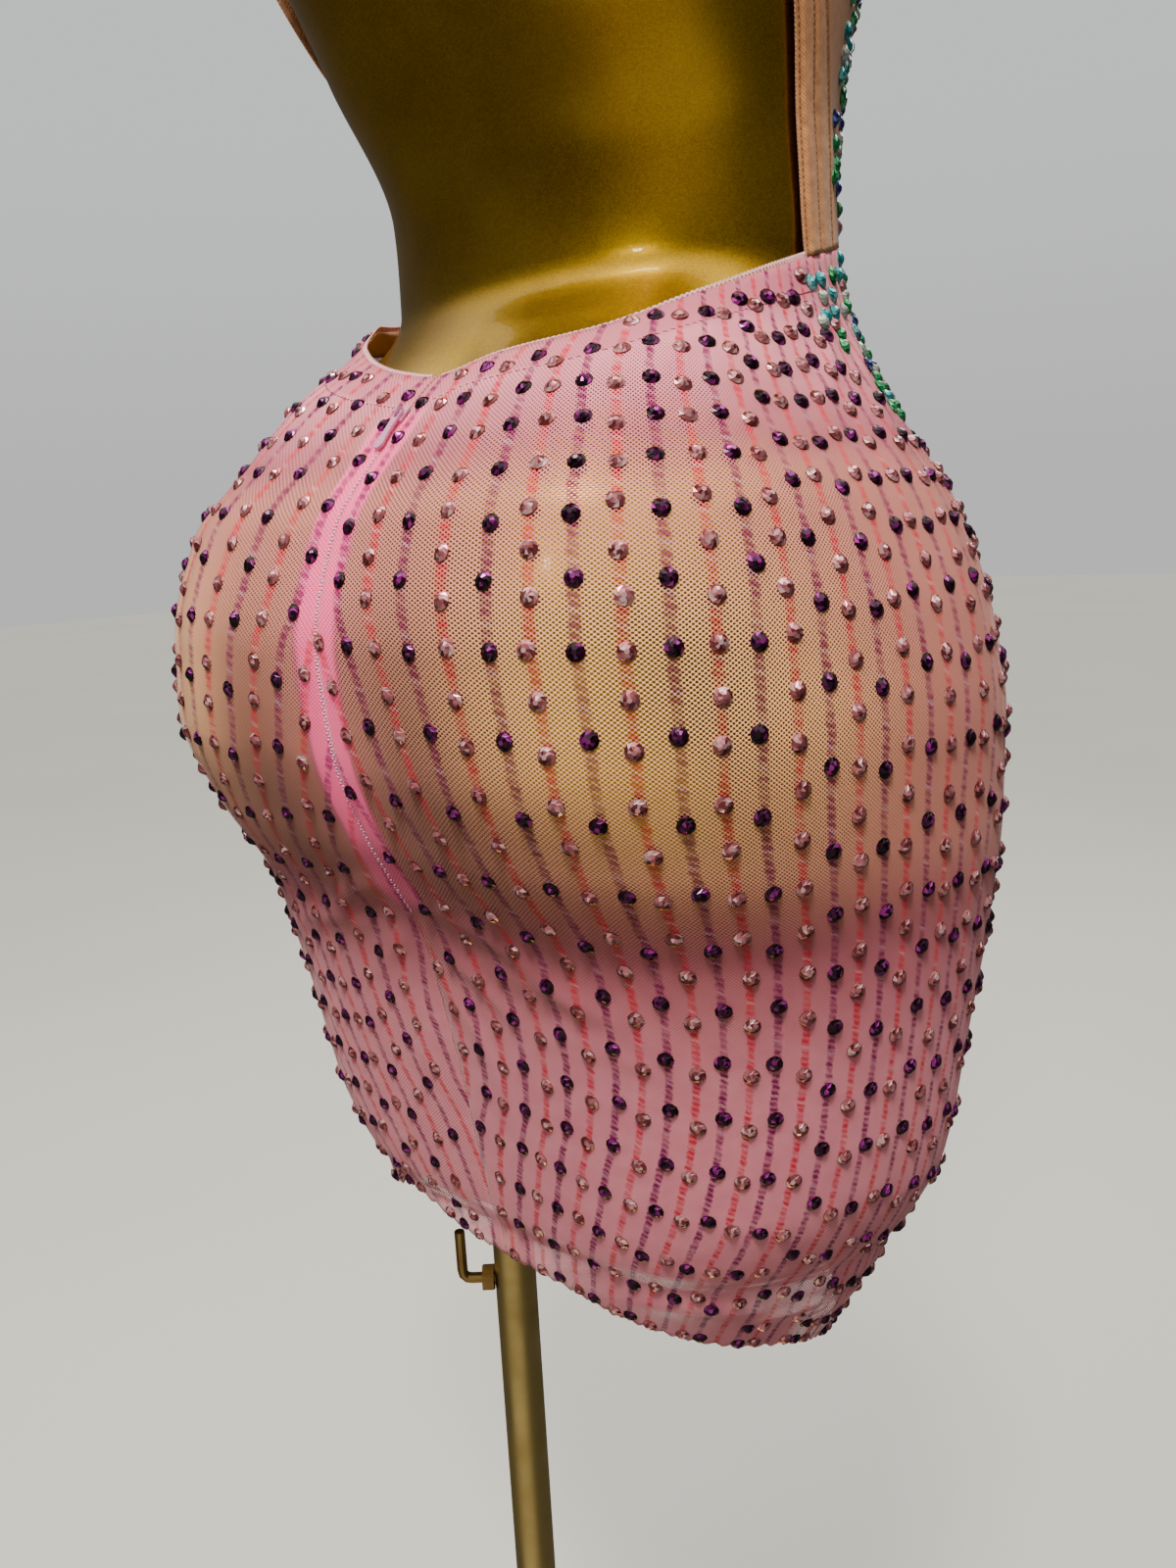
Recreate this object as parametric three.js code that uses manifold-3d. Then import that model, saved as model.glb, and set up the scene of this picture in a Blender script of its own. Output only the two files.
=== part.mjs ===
// Mesh mini dress on a limbless dress form, at real size in millimetres, +Z up.
// The origin is the centre of the round base's underside, on the axis of the pole.
// The form faces -Y, its left side is +X, and the zip is at the back, on the +Y side.
// Every cloth piece is a thin wall laid on one body surface, worked out from a table of
// sections: an angle round the body and a level above or below the fullest part of the hip.
import * as THREE from 'three';
import { mergeVertices } from 'three/addons/utils/BufferGeometryUtils.js';
import Module from 'manifold-3d';

const wasm = await Module();
wasm.setup();

// Stand
const HIP_HEIGHT = 850;
const BASE_RADIUS = 170;
const BASE_THICKNESS = 8;
const BASE_EDGE = 2.5;
const POLE_RADIUS = 10.5;
const POLE_BORE = 8.3;
const POLE_TOP = -262;
const TUBE_RADIUS = 8;
const TUBE_OVERLAP = 130;
const COLLAR_RADIUS = 19;
const COLLAR_HEIGHT = 26;
const FLANGE_RADIUS = 34;
const FLANGE_THICKNESS = 4;
const SCREW_LEVEL = -295;
const SCREW_RADIUS = 2.7;
const SCREW_REACH = 27;
const SCREW_ARM = 27;
const SCREW_BEND = 5;
const SCREW_AZIMUTH = 41;
const NUT_FLATS = 12;
const NUT_THICKNESS = 6;
const SMALL_EDGE = 0.8;
const FIT = 0.3;

// The body's upright axis, seen from the pole
const BODY_X = -29;
const BODY_Y = -60;

// Body sections: half width, depth behind and before the axis, and the soft lobes
// that stand out at the back (hips, shoulder blades) and at the front (bust).
const SECTION_COLUMNS = ['level', 'halfWidth', 'back', 'front', 'backLobe', 'frontLobe'];
const SECTIONS = [
  [-305, 111, 80, 86, 0, 0],
  [-265, 133, 89, 89, 6, 0],
  [-228, 153, 98, 92, 13, 0],
  [-192, 169, 104, 94, 16, 0],
  [-137, 178, 114, 96, 16, 0],
  [-82, 186, 127, 99, 17, 0],
  [-37, 190, 150, 101, 22, 0],
  [0, 190, 162, 102, 26, 0],
  [37, 184, 165, 101, 24, 0],
  [82, 167, 151, 98, 25, 0],
  [110, 147, 127, 97, 21, 0],
  [132, 132, 104, 97, 18, 0],
  [155, 120, 76, 96, 7, 0],
  [180, 114, 58, 94, 0, 0],
  [219, 112, 54, 91, 4, 0],
  [274, 121, 82, 92, 11, 2],
  [338, 140, 108, 106, 13, 10],
  [390, 150, 114, 119, 11, 20],
  [440, 155, 115, 112, 8, 11],
  [490, 162, 111, 101, 5, 2],
  [535, 169, 102, 89, 2, 0],
  [570, 171, 91, 78, 0, 0],
  [592, 160, 80, 68, 0, 0],
  [608, 126, 70, 60, 0, 0],
  [622, 88, 62, 54, 0, 0],
  [640, 65, 57, 50, 0, 0],
  [665, 57, 54, 48, 0, 0],
  [690, 56, 53, 48, 0, 0],
];
const BACK_LOBE_ANGLE = 38;
const BACK_LOBE_SPREAD = 24;
const FRONT_LOBE_ANGLE = 152;
const FRONT_LOBE_SPREAD = 20;

// The skirt's cut edges round the body: its top edge, which dips at the zip, and its hem
const EDGE_COLUMNS = ['angle', 'topEdge', 'hem'];
const EDGES = [
  [-180, 188, -305],
  [-130, 188, -304],
  [-90, 180, -296],
  [-60, 172, -275],
  [-40, 158, -256],
  [-25, 149, -242],
  [-10, 142, -250],
  [0, 139, -253],
  [12, 145, -255],
  [30, 148, -266],
  [50, 159, -278],
  [70, 169, -287],
  [90, 176, -299],
  [130, 188, -304],
  [180, 188, -305],
];

// The bodice's back edge on each side: it stands upright at the waist and sweeps back above it
const WING_COLUMNS = ['level', 'angle'];
const WING = [
  [168, 84],
  [219, 81],
  [256, 77],
  [280, 71],
  [300, 64],
  [330, 57],
  [360, 52],
  [392, 49],
];

// Cloth
const WALL = 1.2;
const SEAM = 0.3;
const FORM_CLEARANCE = 1.7;
const FORM_BOTTOM = -228;
const FORM_EDGE = 6;
const NECK_INSET = 0.12;
const SIDE_SEAM = 100;
const FRONT_SEAM = 110;
const COLUMN_STEP = 5;
const FORM_STEP = 10;
const BODICE_RISE = 1.3;
const BODICE_BLEND = 40;
const STAND_OFF_LEFT = 8;
const STAND_OFF_RIGHT = 2.5;
const STAND_OFF_ANGLE = 52;
const STAND_OFF_SPREAD = 28;
const STAND_OFF_FALL = 40;
const STAND_OFF_END = 380;
const STAND_OFF_FADE = 60;
const TUCK_DEPTH = 2.2;
const TUCK_LEVEL = -238;
const TUCK_SPREAD = 8;

// Inside the skirt: picot elastic under the top edge and the zip's two tapes
const ELASTIC_WIDTH = 12;
const ELASTIC_GAP = 0.3;
const ELASTIC_WALL = 1;
const ELASTIC_START = 0.9;
const ELASTIC_END = 83.5;
const EDGE_RELIEF = 2;
const EDGE_RELIEF_SPREAD = 18;
const TAPE_WIDTH = 11;
const TAPE_GAP = 0.5;
const TAPE_WALL = 1;
const ZIP_BOTTOM = -75;
const VALLEY = 4;
const VALLEY_WIDTH = 18;
const VALLEY_LOW = -120;
const VALLEY_HIGH = 160;
const VALLEY_FADE = 25;

// Bodice
const CASING_WIDTH = 20;
const CASING_WALL = 1.6;
const BODICE_TOP_BACK = 392;
const BODICE_TOP_SIDE = 404;
const SETTLE_ROUNDS = 6;
const NECKLINE_COLUMNS = ['angle', 'level'];
const NECKLINE = [
  [110, 408],
  [122, 428],
  [132, 456],
  [138, 476],
  [146, 478],
  [156, 462],
  [168, 444],
  [180, 438],
];
const NECKLINE_SHARES = [0.34, 0.67, 1];
const STRAP_WIDTH = 12;
const STRAP_WALL = 1.5;
// The strap's middle line over the shoulder: angle and level
const STRAP = [
  [54.5, 394.2],
  [48, 440],
  [41, 490],
  [38, 535],
  [38, 566],
  [41, 588],
  [47, 600],
  [58, 608],
  [77, 613],
  [101, 613],
  [120, 608],
  [132, 600],
  [139, 588],
  [142, 566],
  [142.5, 535],
  [142, 505],
  [141, 479.8],
];
const STRAP_SEGMENTS = 30;

// Zip slider and its pull tab, in the slider's own frame: down the zip, across it and out of it
const SLIDER_LEVEL = 123;
const SLIDER_LENGTH = 8;
const SLIDER_WIDTH = 4.6;
const SLIDER_LOW = 0.3;
const SLIDER_HIGH = 1.1;
const BRIDGE_WIDTH = 1.2;
const BRIDGE_INNER = 1.3;
const BRIDGE_OUTER = 2.1;
const PIVOT_HEIGHT = 2.2;
const TAB_LENGTH = 19;
const TAB_THICKNESS = 1;
const TAB_NECK = 1.9;
const TAB_BELLY = 2.6;
const TAB_EYE_WIDTH = 2.4;
const TAB_EYE_NEAR = 0.5;
const TAB_EYE_FAR = 3.2;
const TAB_LEAN = 4;

const degrees = THREE.MathUtils.degToRad;
const gauss = (offset, spread) => Math.exp(-((offset / spread) ** 2));
const smooth = (value) => THREE.MathUtils.smoothstep(value, 0, 1);
const wrap = (angle) => THREE.MathUtils.euclideanModulo(angle + 180, 360) - 180;

// Smooth curve through a table's rows that never overshoots them
function monotoneCurve(positions, values) {
  const count = positions.length;
  const slopes = [];
  for (let i = 0; i < count - 1; i += 1) {
    slopes.push((values[i + 1] - values[i]) / (positions[i + 1] - positions[i]));
  }
  const tangents = [slopes[0]];
  for (let i = 1; i < count - 1; i += 1) {
    const before = slopes[i - 1];
    const after = slopes[i];
    tangents.push(before * after > 0 ? (2 * before * after) / (before + after) : 0);
  }
  tangents.push(slopes[count - 2]);
  return (position) => {
    let i = 0;
    while (i < count - 2 && position > positions[i + 1]) i += 1;
    const span = positions[i + 1] - positions[i];
    const t = THREE.MathUtils.clamp((position - positions[i]) / span, 0, 1);
    const nearer = values[i] + t * (t - 1) ** 2 * span * tangents[i];
    const ease = t * t * (3 - 2 * t);
    return nearer + ease * (values[i + 1] - values[i]) + t * t * (t - 1) * span * tangents[i + 1];
  };
}

// One curve for each named column of a table, over its first column
function tableCurves(columns, rows) {
  const curves = {};
  columns.slice(1).forEach((name, index) => {
    curves[name] = monotoneCurve(rows.map((row) => row[0]), rows.map((row) => row[index + 1]));
  });
  return curves;
}

const body = tableCurves(SECTION_COLUMNS, SECTIONS);
const edges = tableCurves(EDGE_COLUMNS, EDGES);
const wing = tableCurves(WING_COLUMNS, WING);
const neckline = tableCurves(NECKLINE_COLUMNS, NECKLINE);
const topEdge = (angle) => edges.topEdge(wrap(angle));
const hem = (angle) => edges.hem(wrap(angle));

// Body surface at an angle from the back, towards the right side, and at a level
function bodyPoint(angle, level) {
  const turn = degrees(angle);
  const away = Math.abs(wrap(angle));
  const depth = Math.cos(turn) > 0 ? body.back(level) : body.front(level);
  const lobe = body.backLobe(level) * gauss(away - BACK_LOBE_ANGLE, BACK_LOBE_SPREAD)
    + body.frontLobe(level) * gauss(away - FRONT_LOBE_ANGLE, FRONT_LOBE_SPREAD);
  return new THREE.Vector3(
    BODY_X - (body.halfWidth(level) + lobe) * Math.sin(turn),
    BODY_Y + (depth + lobe) * Math.cos(turn),
    HIP_HEIGHT + level,
  );
}

function bodyNormal(angle, level) {
  const step = 0.5;
  const round = bodyPoint(angle + step, level).sub(bodyPoint(angle - step, level));
  const rise = bodyPoint(angle, level + step).sub(bodyPoint(angle, level - step));
  return round.cross(rise).normalize();
}

// How far the cloth stands off the body beside the open back
function standOff(angle, level) {
  const side = wrap(angle);
  const most = side < 0 ? STAND_OFF_LEFT : STAND_OFF_RIGHT;
  const below = Math.min(0, level - topEdge(angle));
  const above = smooth((level - STAND_OFF_END) / STAND_OFF_FADE);
  return most * gauss(Math.abs(side) - STAND_OFF_ANGLE, STAND_OFF_SPREAD)
    * gauss(below, STAND_OFF_FALL) * (1 - above);
}

// The skirt tucks in just under the form's lower edge
const tuck = (level) => TUCK_DEPTH * gauss(level - TUCK_LEVEL, TUCK_SPREAD);

function clothPoint(angle, level, outward) {
  const lift = outward + standOff(angle, level) - tuck(level);
  return bodyPoint(angle, level).addScaledVector(bodyNormal(angle, level), lift);
}

function bodicePoint(angle, level, outward) {
  const rise = BODICE_RISE * smooth((level - topEdge(angle)) / BODICE_BLEND);
  return clothPoint(angle, level, outward + rise);
}

// The form lies inside the cloth, deeper under the zip and under the elastic
function formPoint(angle, level) {
  const point = bodyPoint(angle, level);
  const arc = Math.hypot(point.x - BODY_X, point.y - BODY_Y) * degrees(wrap(angle));
  const reach = smooth((level - VALLEY_LOW) / VALLEY_FADE) * smooth((VALLEY_HIGH - level) / VALLEY_FADE);
  const valley = VALLEY * gauss(arc, VALLEY_WIDTH) * reach;
  const relief = EDGE_RELIEF * gauss(level - topEdge(angle) + ELASTIC_WIDTH / 2, EDGE_RELIEF_SPREAD);
  return point.addScaledVector(bodyNormal(angle, level), -FORM_CLEARANCE - valley - relief);
}

const range = (count) => Array.from({ length: count }, (unused, index) => index);
const blend = (from, to, share) => from + (to - from) * share;

// A closed mesh from points and triangles, with its faces turned outwards
function solid(points, triangles) {
  let volume = 0;
  for (const [a, b, c] of triangles) {
    volume += points[a].dot(new THREE.Vector3().crossVectors(points[b], points[c]));
  }
  const faces = volume > 0 ? triangles : triangles.map(([a, b, c]) => [a, c, b]);
  const geometry = new THREE.BufferGeometry();
  geometry.setAttribute('position', new THREE.Float32BufferAttribute(points.flatMap((p) => p.toArray()), 3));
  geometry.setIndex(faces.flat());
  geometry.computeVertexNormals();
  return geometry;
}

// A wall between an outer and an inner net of points, closed along its four edges
function wall(rowCount, columnCount, outerPoint, innerPoint) {
  const points = [];
  const sheets = [outerPoint, innerPoint].map((pointAt) => range(rowCount).map((row) => (
    range(columnCount).map((column) => points.push(pointAt(row, column)) - 1)
  )));
  const triangles = [];
  const quad = (a, b, c, d) => triangles.push([a, b, c], [a, c, d]);
  const [outer, inner] = sheets;
  const lastRow = rowCount - 1;
  const lastColumn = columnCount - 1;
  for (let row = 0; row < lastRow; row += 1) {
    for (let column = 0; column < lastColumn; column += 1) {
      const [next, above] = [column + 1, row + 1];
      quad(outer[row][column], outer[row][next], outer[above][next], outer[above][column]);
      quad(inner[row][column], inner[above][column], inner[above][next], inner[row][next]);
    }
    quad(outer[row][0], outer[row + 1][0], inner[row + 1][0], inner[row][0]);
    quad(outer[row][lastColumn], inner[row][lastColumn], inner[row + 1][lastColumn], outer[row + 1][lastColumn]);
  }
  for (let column = 0; column < lastColumn; column += 1) {
    const next = column + 1;
    quad(outer[0][column], inner[0][column], inner[0][next], outer[0][next]);
    quad(outer[lastRow][column], outer[lastRow][next], inner[lastRow][next], inner[lastRow][column]);
  }
  return solid(points, triangles);
}

// Levels of the net's rows at an angle. The same rows serve the form and the cloth on it.
const LOW_LEVELS = [-216, -180, -142, -106, -70, -34, 0, 34, 64, 90];
const ABOVE_EDGE = [12, 30];
const HIGH_LEVELS = [244, 274, 306, 338, 364, 388];
const FORM_HIGH_LEVELS = [...HIGH_LEVELS, 416, 448, 480, 510, 536, 558, 576, 590, 602, 614, 628, 646, 690];
const HEM_SHARES = [0, 0.5];

function skirtLevels(angle) {
  const lowest = hem(angle);
  const edge = topEdge(angle);
  return [
    ...HEM_SHARES.map((share) => blend(lowest, TUCK_LEVEL, share)),
    TUCK_LEVEL,
    FORM_BOTTOM + 2,
    ...LOW_LEVELS,
    edge - 2 * ELASTIC_WIDTH,
    edge - ELASTIC_WIDTH,
    edge,
  ];
}

// Angle that lies a distance along the cloth from a given angle
function angleBeyond(angle, level, distance) {
  const point = bodyPoint(angle, level);
  const arm = bodyPoint(angle + 1, level).distanceTo(point);
  return angle + distance / arm;
}

// A skirt panel between two angles, its outer columns drawn in by half a seam
function skirtPanel(fromAngle, toAngle) {
  const count = Math.round((toAngle - fromAngle) / COLUMN_STEP) + 1;
  const rowCount = skirtLevels(fromAngle).length;
  const place = (row, column) => {
    const share = blend(fromAngle, toAngle, column / (count - 1));
    const level = skirtLevels(share)[row];
    const inset = (column === 0 ? SEAM / 2 : 0) - (column === count - 1 ? SEAM / 2 : 0);
    return [angleBeyond(share, level, inset), level];
  };
  return wall(
    rowCount,
    count,
    (row, column) => clothPoint(...place(row, column), 0),
    (row, column) => clothPoint(...place(row, column), -WALL),
  );
}

// Elastic turned in under the skirt's top edge on one side, from the zip to the bodice
function waistElastic(side) {
  const middle = range(Math.ceil(ELASTIC_END / COLUMN_STEP) - 1).map((index) => (index + 1) * COLUMN_STEP);
  const angles = [ELASTIC_START, ...middle, ELASTIC_END].map((angle) => side * angle).sort((a, b) => a - b);
  const place = (row, column) => {
    const angle = angles[column];
    return [angle, topEdge(angle) - (row === 0 ? ELASTIC_WIDTH : 0)];
  };
  const outer = -WALL - ELASTIC_GAP;
  return wall(
    2,
    angles.length,
    (row, column) => clothPoint(...place(row, column), outer),
    (row, column) => clothPoint(...place(row, column), outer - ELASTIC_WALL),
  );
}

// One tape of the zip, behind the edge of its back panel
function zipTape(side) {
  const tapeTop = topEdge(0) - ELASTIC_WIDTH - SEAM;
  const between = LOW_LEVELS.filter((level) => level > ZIP_BOTTOM + ELASTIC_WIDTH);
  const levels = [ZIP_BOTTOM, ...between, topEdge(0) - 2 * ELASTIC_WIDTH, tapeTop];
  const offsets = [SEAM / 2, TAPE_WIDTH / 2, TAPE_WIDTH].map((offset) => side * offset).sort((a, b) => a - b);
  const place = (row, column) => [angleBeyond(0, levels[row], offsets[column]), levels[row]];
  const outer = -WALL - TAPE_GAP;
  return wall(
    levels.length,
    offsets.length,
    (row, column) => clothPoint(...place(row, column), outer),
    (row, column) => clothPoint(...place(row, column), outer - TAPE_WALL),
  );
}

// Bodice levels at an angle, from the waist seam up to a top edge
function bodiceLevels(angle, top) {
  const edge = topEdge(angle);
  return [edge + SEAM, ...ABOVE_EDGE.map((rise) => edge + rise), ...HIGH_LEVELS.slice(0, -1), top];
}

function bodiceFront() {
  const span = 360 - 2 * FRONT_SEAM;
  const count = span / COLUMN_STEP + 1;
  const place = (row, column) => {
    const angle = FRONT_SEAM + (span * column) / (count - 1);
    const away = Math.abs(wrap(angle));
    const top = neckline.level(away);
    const bust = HIGH_LEVELS.at(-1);
    const rise = NECKLINE_SHARES.map((share) => blend(bust, top, share));
    const level = [...bodiceLevels(angle, bust), ...rise][row];
    const inset = (column === 0 ? SEAM / 2 : 0) - (column === count - 1 ? SEAM / 2 : 0);
    return [angleBeyond(angle, level, inset), level];
  };
  const rowCount = bodiceLevels(FRONT_SEAM, 0).length + NECKLINE_SHARES.length;
  return wall(
    rowCount,
    count,
    (row, column) => bodicePoint(...place(row, column), 0),
    (row, column) => bodicePoint(...place(row, column), -WALL),
  );
}

// A strip of the bodice's side between two distances along the cloth from its open back edge.
// Without a second distance it runs on to the seam with the front.
function sideStrip(side, fromDistance, toDistance, columnCount, thickness) {
  const rowCount = bodiceLevels(FRONT_SEAM, 0).length;
  const lastWing = WING.at(-1)[1];
  const angleAt = (level, share) => {
    const back = wing.angle(level);
    const from = angleBeyond(back, level, fromDistance);
    const to = toDistance === null
      ? angleBeyond(FRONT_SEAM, level, -SEAM / 2)
      : angleBeyond(back, level, toDistance);
    return blend(from, to, share);
  };
  const place = (row, column) => {
    const share = (side > 0 ? column : columnCount - 1 - column) / (columnCount - 1);
    let angle = angleAt(HIGH_LEVELS[0], share);
    let level = HIGH_LEVELS[0];
    range(SETTLE_ROUNDS).forEach(() => {
      const forward = (angle - lastWing) / (FRONT_SEAM - lastWing);
      level = bodiceLevels(side * angle, blend(BODICE_TOP_BACK, BODICE_TOP_SIDE, forward))[row];
      angle = angleAt(level, share);
    });
    return [side * angle, level];
  };
  return wall(
    rowCount,
    columnCount,
    (row, column) => bodicePoint(...place(row, column), 0),
    (row, column) => bodicePoint(...place(row, column), -thickness),
  );
}

// A shoulder strap from the back wing over the shoulder to the front
function shoulderStrap(side) {
  const route = new THREE.CatmullRomCurve3(STRAP.map(([angle, level]) => new THREE.Vector3(angle, level, 0)));
  const middle = (share) => {
    const place = route.getPoint(share);
    return [side * place.x, place.y];
  };
  const frames = range(STRAP_SEGMENTS + 1).map((index) => {
    const share = index / STRAP_SEGMENTS;
    const step = 0.004;
    const [angle, level] = middle(share);
    const ahead = bodicePoint(...middle(Math.min(1, share + step)), 0);
    const behind = bodicePoint(...middle(Math.max(0, share - step)), 0);
    const normal = bodyNormal(angle, level);
    const across = ahead.sub(behind).cross(normal).normalize();
    if (index === 0 || index === STRAP_SEGMENTS) across.setZ(0).normalize();
    return { centre: bodicePoint(angle, level, 0), normal, across };
  });
  const offsets = [-STRAP_WIDTH / 2, 0, STRAP_WIDTH / 2];
  const place = (row, column, outward) => frames[row].centre.clone()
    .addScaledVector(frames[row].across, offsets[column])
    .addScaledVector(frames[row].normal, outward);
  return wall(
    frames.length,
    offsets.length,
    (row, column) => place(row, column, STRAP_WALL - WALL),
    (row, column) => place(row, column, -WALL),
  );
}

// The whole form: rings of points with a flat underside and a flat neck top
function dressForm() {
  const count = 360 / FORM_STEP;
  const edgeRows = [-2 * ELASTIC_WIDTH, -ELASTIC_WIDTH, 0, ...ABOVE_EDGE];
  const levelsAt = (angle) => [
    FORM_BOTTOM + 2,
    ...LOW_LEVELS,
    ...edgeRows.map((rise) => topEdge(angle) + rise),
    ...FORM_HIGH_LEVELS,
  ];
  const rowCount = levelsAt(0).length;
  const points = [];
  const rings = range(rowCount).map((row) => range(count).map((column) => {
    const angle = column * FORM_STEP;
    return points.push(formPoint(angle, levelsAt(angle)[row])) - 1;
  }));
  const inset = (ring, share, height) => ring.map((index) => {
    const point = points[index].clone();
    point.x = blend(point.x, BODY_X, share);
    point.y = blend(point.y, BODY_Y, share);
    point.z = height;
    return points.push(point) - 1;
  });
  rings.unshift(inset(rings[0], FORM_EDGE / body.halfWidth(FORM_BOTTOM), HIP_HEIGHT + FORM_BOTTOM));
  const neckTop = HIP_HEIGHT + FORM_HIGH_LEVELS.at(-1);
  rings.push(inset(rings.at(-1), NECK_INSET, neckTop + FORM_EDGE / 2));
  const triangles = [];
  for (let row = 0; row < rings.length - 1; row += 1) {
    for (let column = 0; column < count; column += 1) {
      const next = (column + 1) % count;
      const [low, high] = [rings[row], rings[row + 1]];
      triangles.push([low[column], low[next], high[next]], [low[column], high[next], high[column]]);
    }
  }
  const foot = points.push(new THREE.Vector3(BODY_X, BODY_Y, HIP_HEIGHT + FORM_BOTTOM)) - 1;
  const crown = points.push(new THREE.Vector3(BODY_X, BODY_Y, neckTop + FORM_EDGE / 2)) - 1;
  for (let column = 0; column < count; column += 1) {
    const next = (column + 1) % count;
    triangles.push([foot, rings[0][next], rings[0][column]]);
    triangles.push([crown, rings.at(-1)[column], rings.at(-1)[next]]);
  }
  return solid(points, triangles);
}

// Round pieces on the pole's axis, from radius and height pairs on a closed outline
function turned(outline, segments) {
  const closed = [...outline, outline[0]].map(([radius, height]) => new THREE.Vector2(radius, height));
  const geometry = new THREE.LatheGeometry(closed, segments);
  geometry.rotateX(Math.PI / 2);
  return geometry;
}

function disc(radius, low, high, edge, segments) {
  const outline = [
    [0, low], [radius - edge, low], [radius, low + edge], [radius, high - edge], [radius - edge, high], [0, high],
  ];
  const geometry = new THREE.LatheGeometry(outline.map(([r, z]) => new THREE.Vector2(r, z)), segments);
  geometry.rotateX(Math.PI / 2);
  return geometry;
}

const ring = (inner, outer, low, high) => turned([[inner, low], [outer, low], [outer, high], [inner, high]], 32);

// Boolean work on closed meshes
function toManifold(geometry) {
  const bare = geometry.clone();
  bare.deleteAttribute('normal');
  bare.deleteAttribute('uv');
  const merged = mergeVertices(bare, 1e-4);
  return new wasm.Manifold(new wasm.Mesh({
    numProp: 3,
    vertProperties: new Float32Array(merged.attributes.position.array),
    triVerts: new Uint32Array(merged.index.array),
  }));
}

function fromManifold(manifold) {
  const mesh = manifold.getMesh();
  const geometry = new THREE.BufferGeometry();
  geometry.setAttribute('position', new THREE.BufferAttribute(new Float32Array(mesh.vertProperties), 3));
  geometry.setIndex(new THREE.BufferAttribute(new Uint32Array(mesh.triVerts), 1));
  geometry.computeVertexNormals();
  return geometry;
}

const part = new THREE.Group();

function add(name, geometry, colour, roughness, metalness, parent = part) {
  const mesh = new THREE.Mesh(geometry, new THREE.MeshStandardMaterial({ color: colour, roughness, metalness }));
  mesh.name = name;
  parent.add(mesh);
  return mesh;
}

const BRASS = '#a88f4e';
const OLD_BRASS = '#7a6238';
const GOLD = '#b98a26';
const PINK_MESH = '#e3a0b4';
const NUDE_MESH = '#c4937c';
const ZIP_PINK = '#f27fc0';
const LILAC = '#d9a8dc';

function addStand() {
  const poleTop = HIP_HEIGHT + POLE_TOP;
  const formFoot = HIP_HEIGHT + FORM_BOTTOM;
  add('base_plate', disc(BASE_RADIUS, 0, BASE_THICKNESS, BASE_EDGE, 48), BRASS, 0.35, 0.9);
  const collarFoot = BASE_THICKNESS + FIT;
  const collar = ring(POLE_RADIUS + FIT, COLLAR_RADIUS, collarFoot, collarFoot + COLLAR_HEIGHT);
  add('base_collar', collar, BRASS, 0.35, 0.9);
  const azimuth = degrees(SCREW_AZIMUTH);
  const hole = new THREE.CylinderGeometry(SCREW_RADIUS + FIT, SCREW_RADIUS + FIT, 2 * POLE_RADIUS, 16);
  hole.rotateZ(Math.PI / 2);
  hole.translate(POLE_RADIUS, 0, 0);
  hole.rotateZ(azimuth);
  hole.translate(0, 0, HIP_HEIGHT + SCREW_LEVEL);
  const tube = toManifold(ring(POLE_BORE, POLE_RADIUS, collarFoot, poleTop)).subtract(toManifold(hole));
  add('pole', fromManifold(tube), BRASS, 0.3, 0.9);
  const flangeFoot = formFoot - FIT - FLANGE_THICKNESS;
  const tubeFoot = poleTop - TUBE_OVERLAP;
  add('inner_tube', disc(TUBE_RADIUS, tubeFoot, flangeFoot - FIT, SMALL_EDGE, 24), BRASS, 0.3, 0.9);
  const flange = disc(FLANGE_RADIUS, flangeFoot, flangeFoot + FLANGE_THICKNESS, SMALL_EDGE, 32);
  add('form_flange', flange, BRASS, 0.35, 0.9);

  const clamp = new THREE.Group();
  clamp.position.set(0, 0, HIP_HEIGHT + SCREW_LEVEL);
  clamp.rotation.z = azimuth;
  part.add(clamp);
  const hexagon = new THREE.Shape(range(6).map((index) => {
    const corner = NUT_FLATS / 2 / Math.cos(Math.PI / 6);
    const turn = (index * Math.PI) / 3;
    return new THREE.Vector2(corner * Math.cos(turn), corner * Math.sin(turn));
  }));
  hexagon.holes.push(new THREE.Path().absarc(0, 0, SCREW_RADIUS + FIT, 0, 2 * Math.PI, true));
  const nut = new THREE.ExtrudeGeometry(hexagon, { depth: NUT_THICKNESS, bevelEnabled: false, curveSegments: 8 });
  nut.rotateY(Math.PI / 2);
  add('clamp_nut', nut, OLD_BRASS, 0.4, 0.9, clamp).position.x = POLE_RADIUS + FIT;
  const route = new THREE.CurvePath();
  const corner = SCREW_REACH - SCREW_BEND;
  const start = new THREE.Vector3(TUBE_RADIUS + FIT, 0, 0);
  route.add(new THREE.LineCurve3(start, new THREE.Vector3(corner, 0, 0)));
  route.add(new THREE.QuadraticBezierCurve3(
    new THREE.Vector3(corner, 0, 0),
    new THREE.Vector3(SCREW_REACH, 0, 0),
    new THREE.Vector3(SCREW_REACH, 0, SCREW_BEND),
  ));
  route.add(new THREE.LineCurve3(
    new THREE.Vector3(SCREW_REACH, 0, SCREW_BEND),
    new THREE.Vector3(SCREW_REACH, 0, SCREW_ARM),
  ));
  const round = new THREE.Shape().absarc(0, 0, SCREW_RADIUS, 0, 2 * Math.PI, false);
  const screw = new THREE.ExtrudeGeometry(round, { steps: 16, curveSegments: 5, extrudePath: route });
  add('clamp_screw', screw, OLD_BRASS, 0.4, 0.9, clamp);
}

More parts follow.
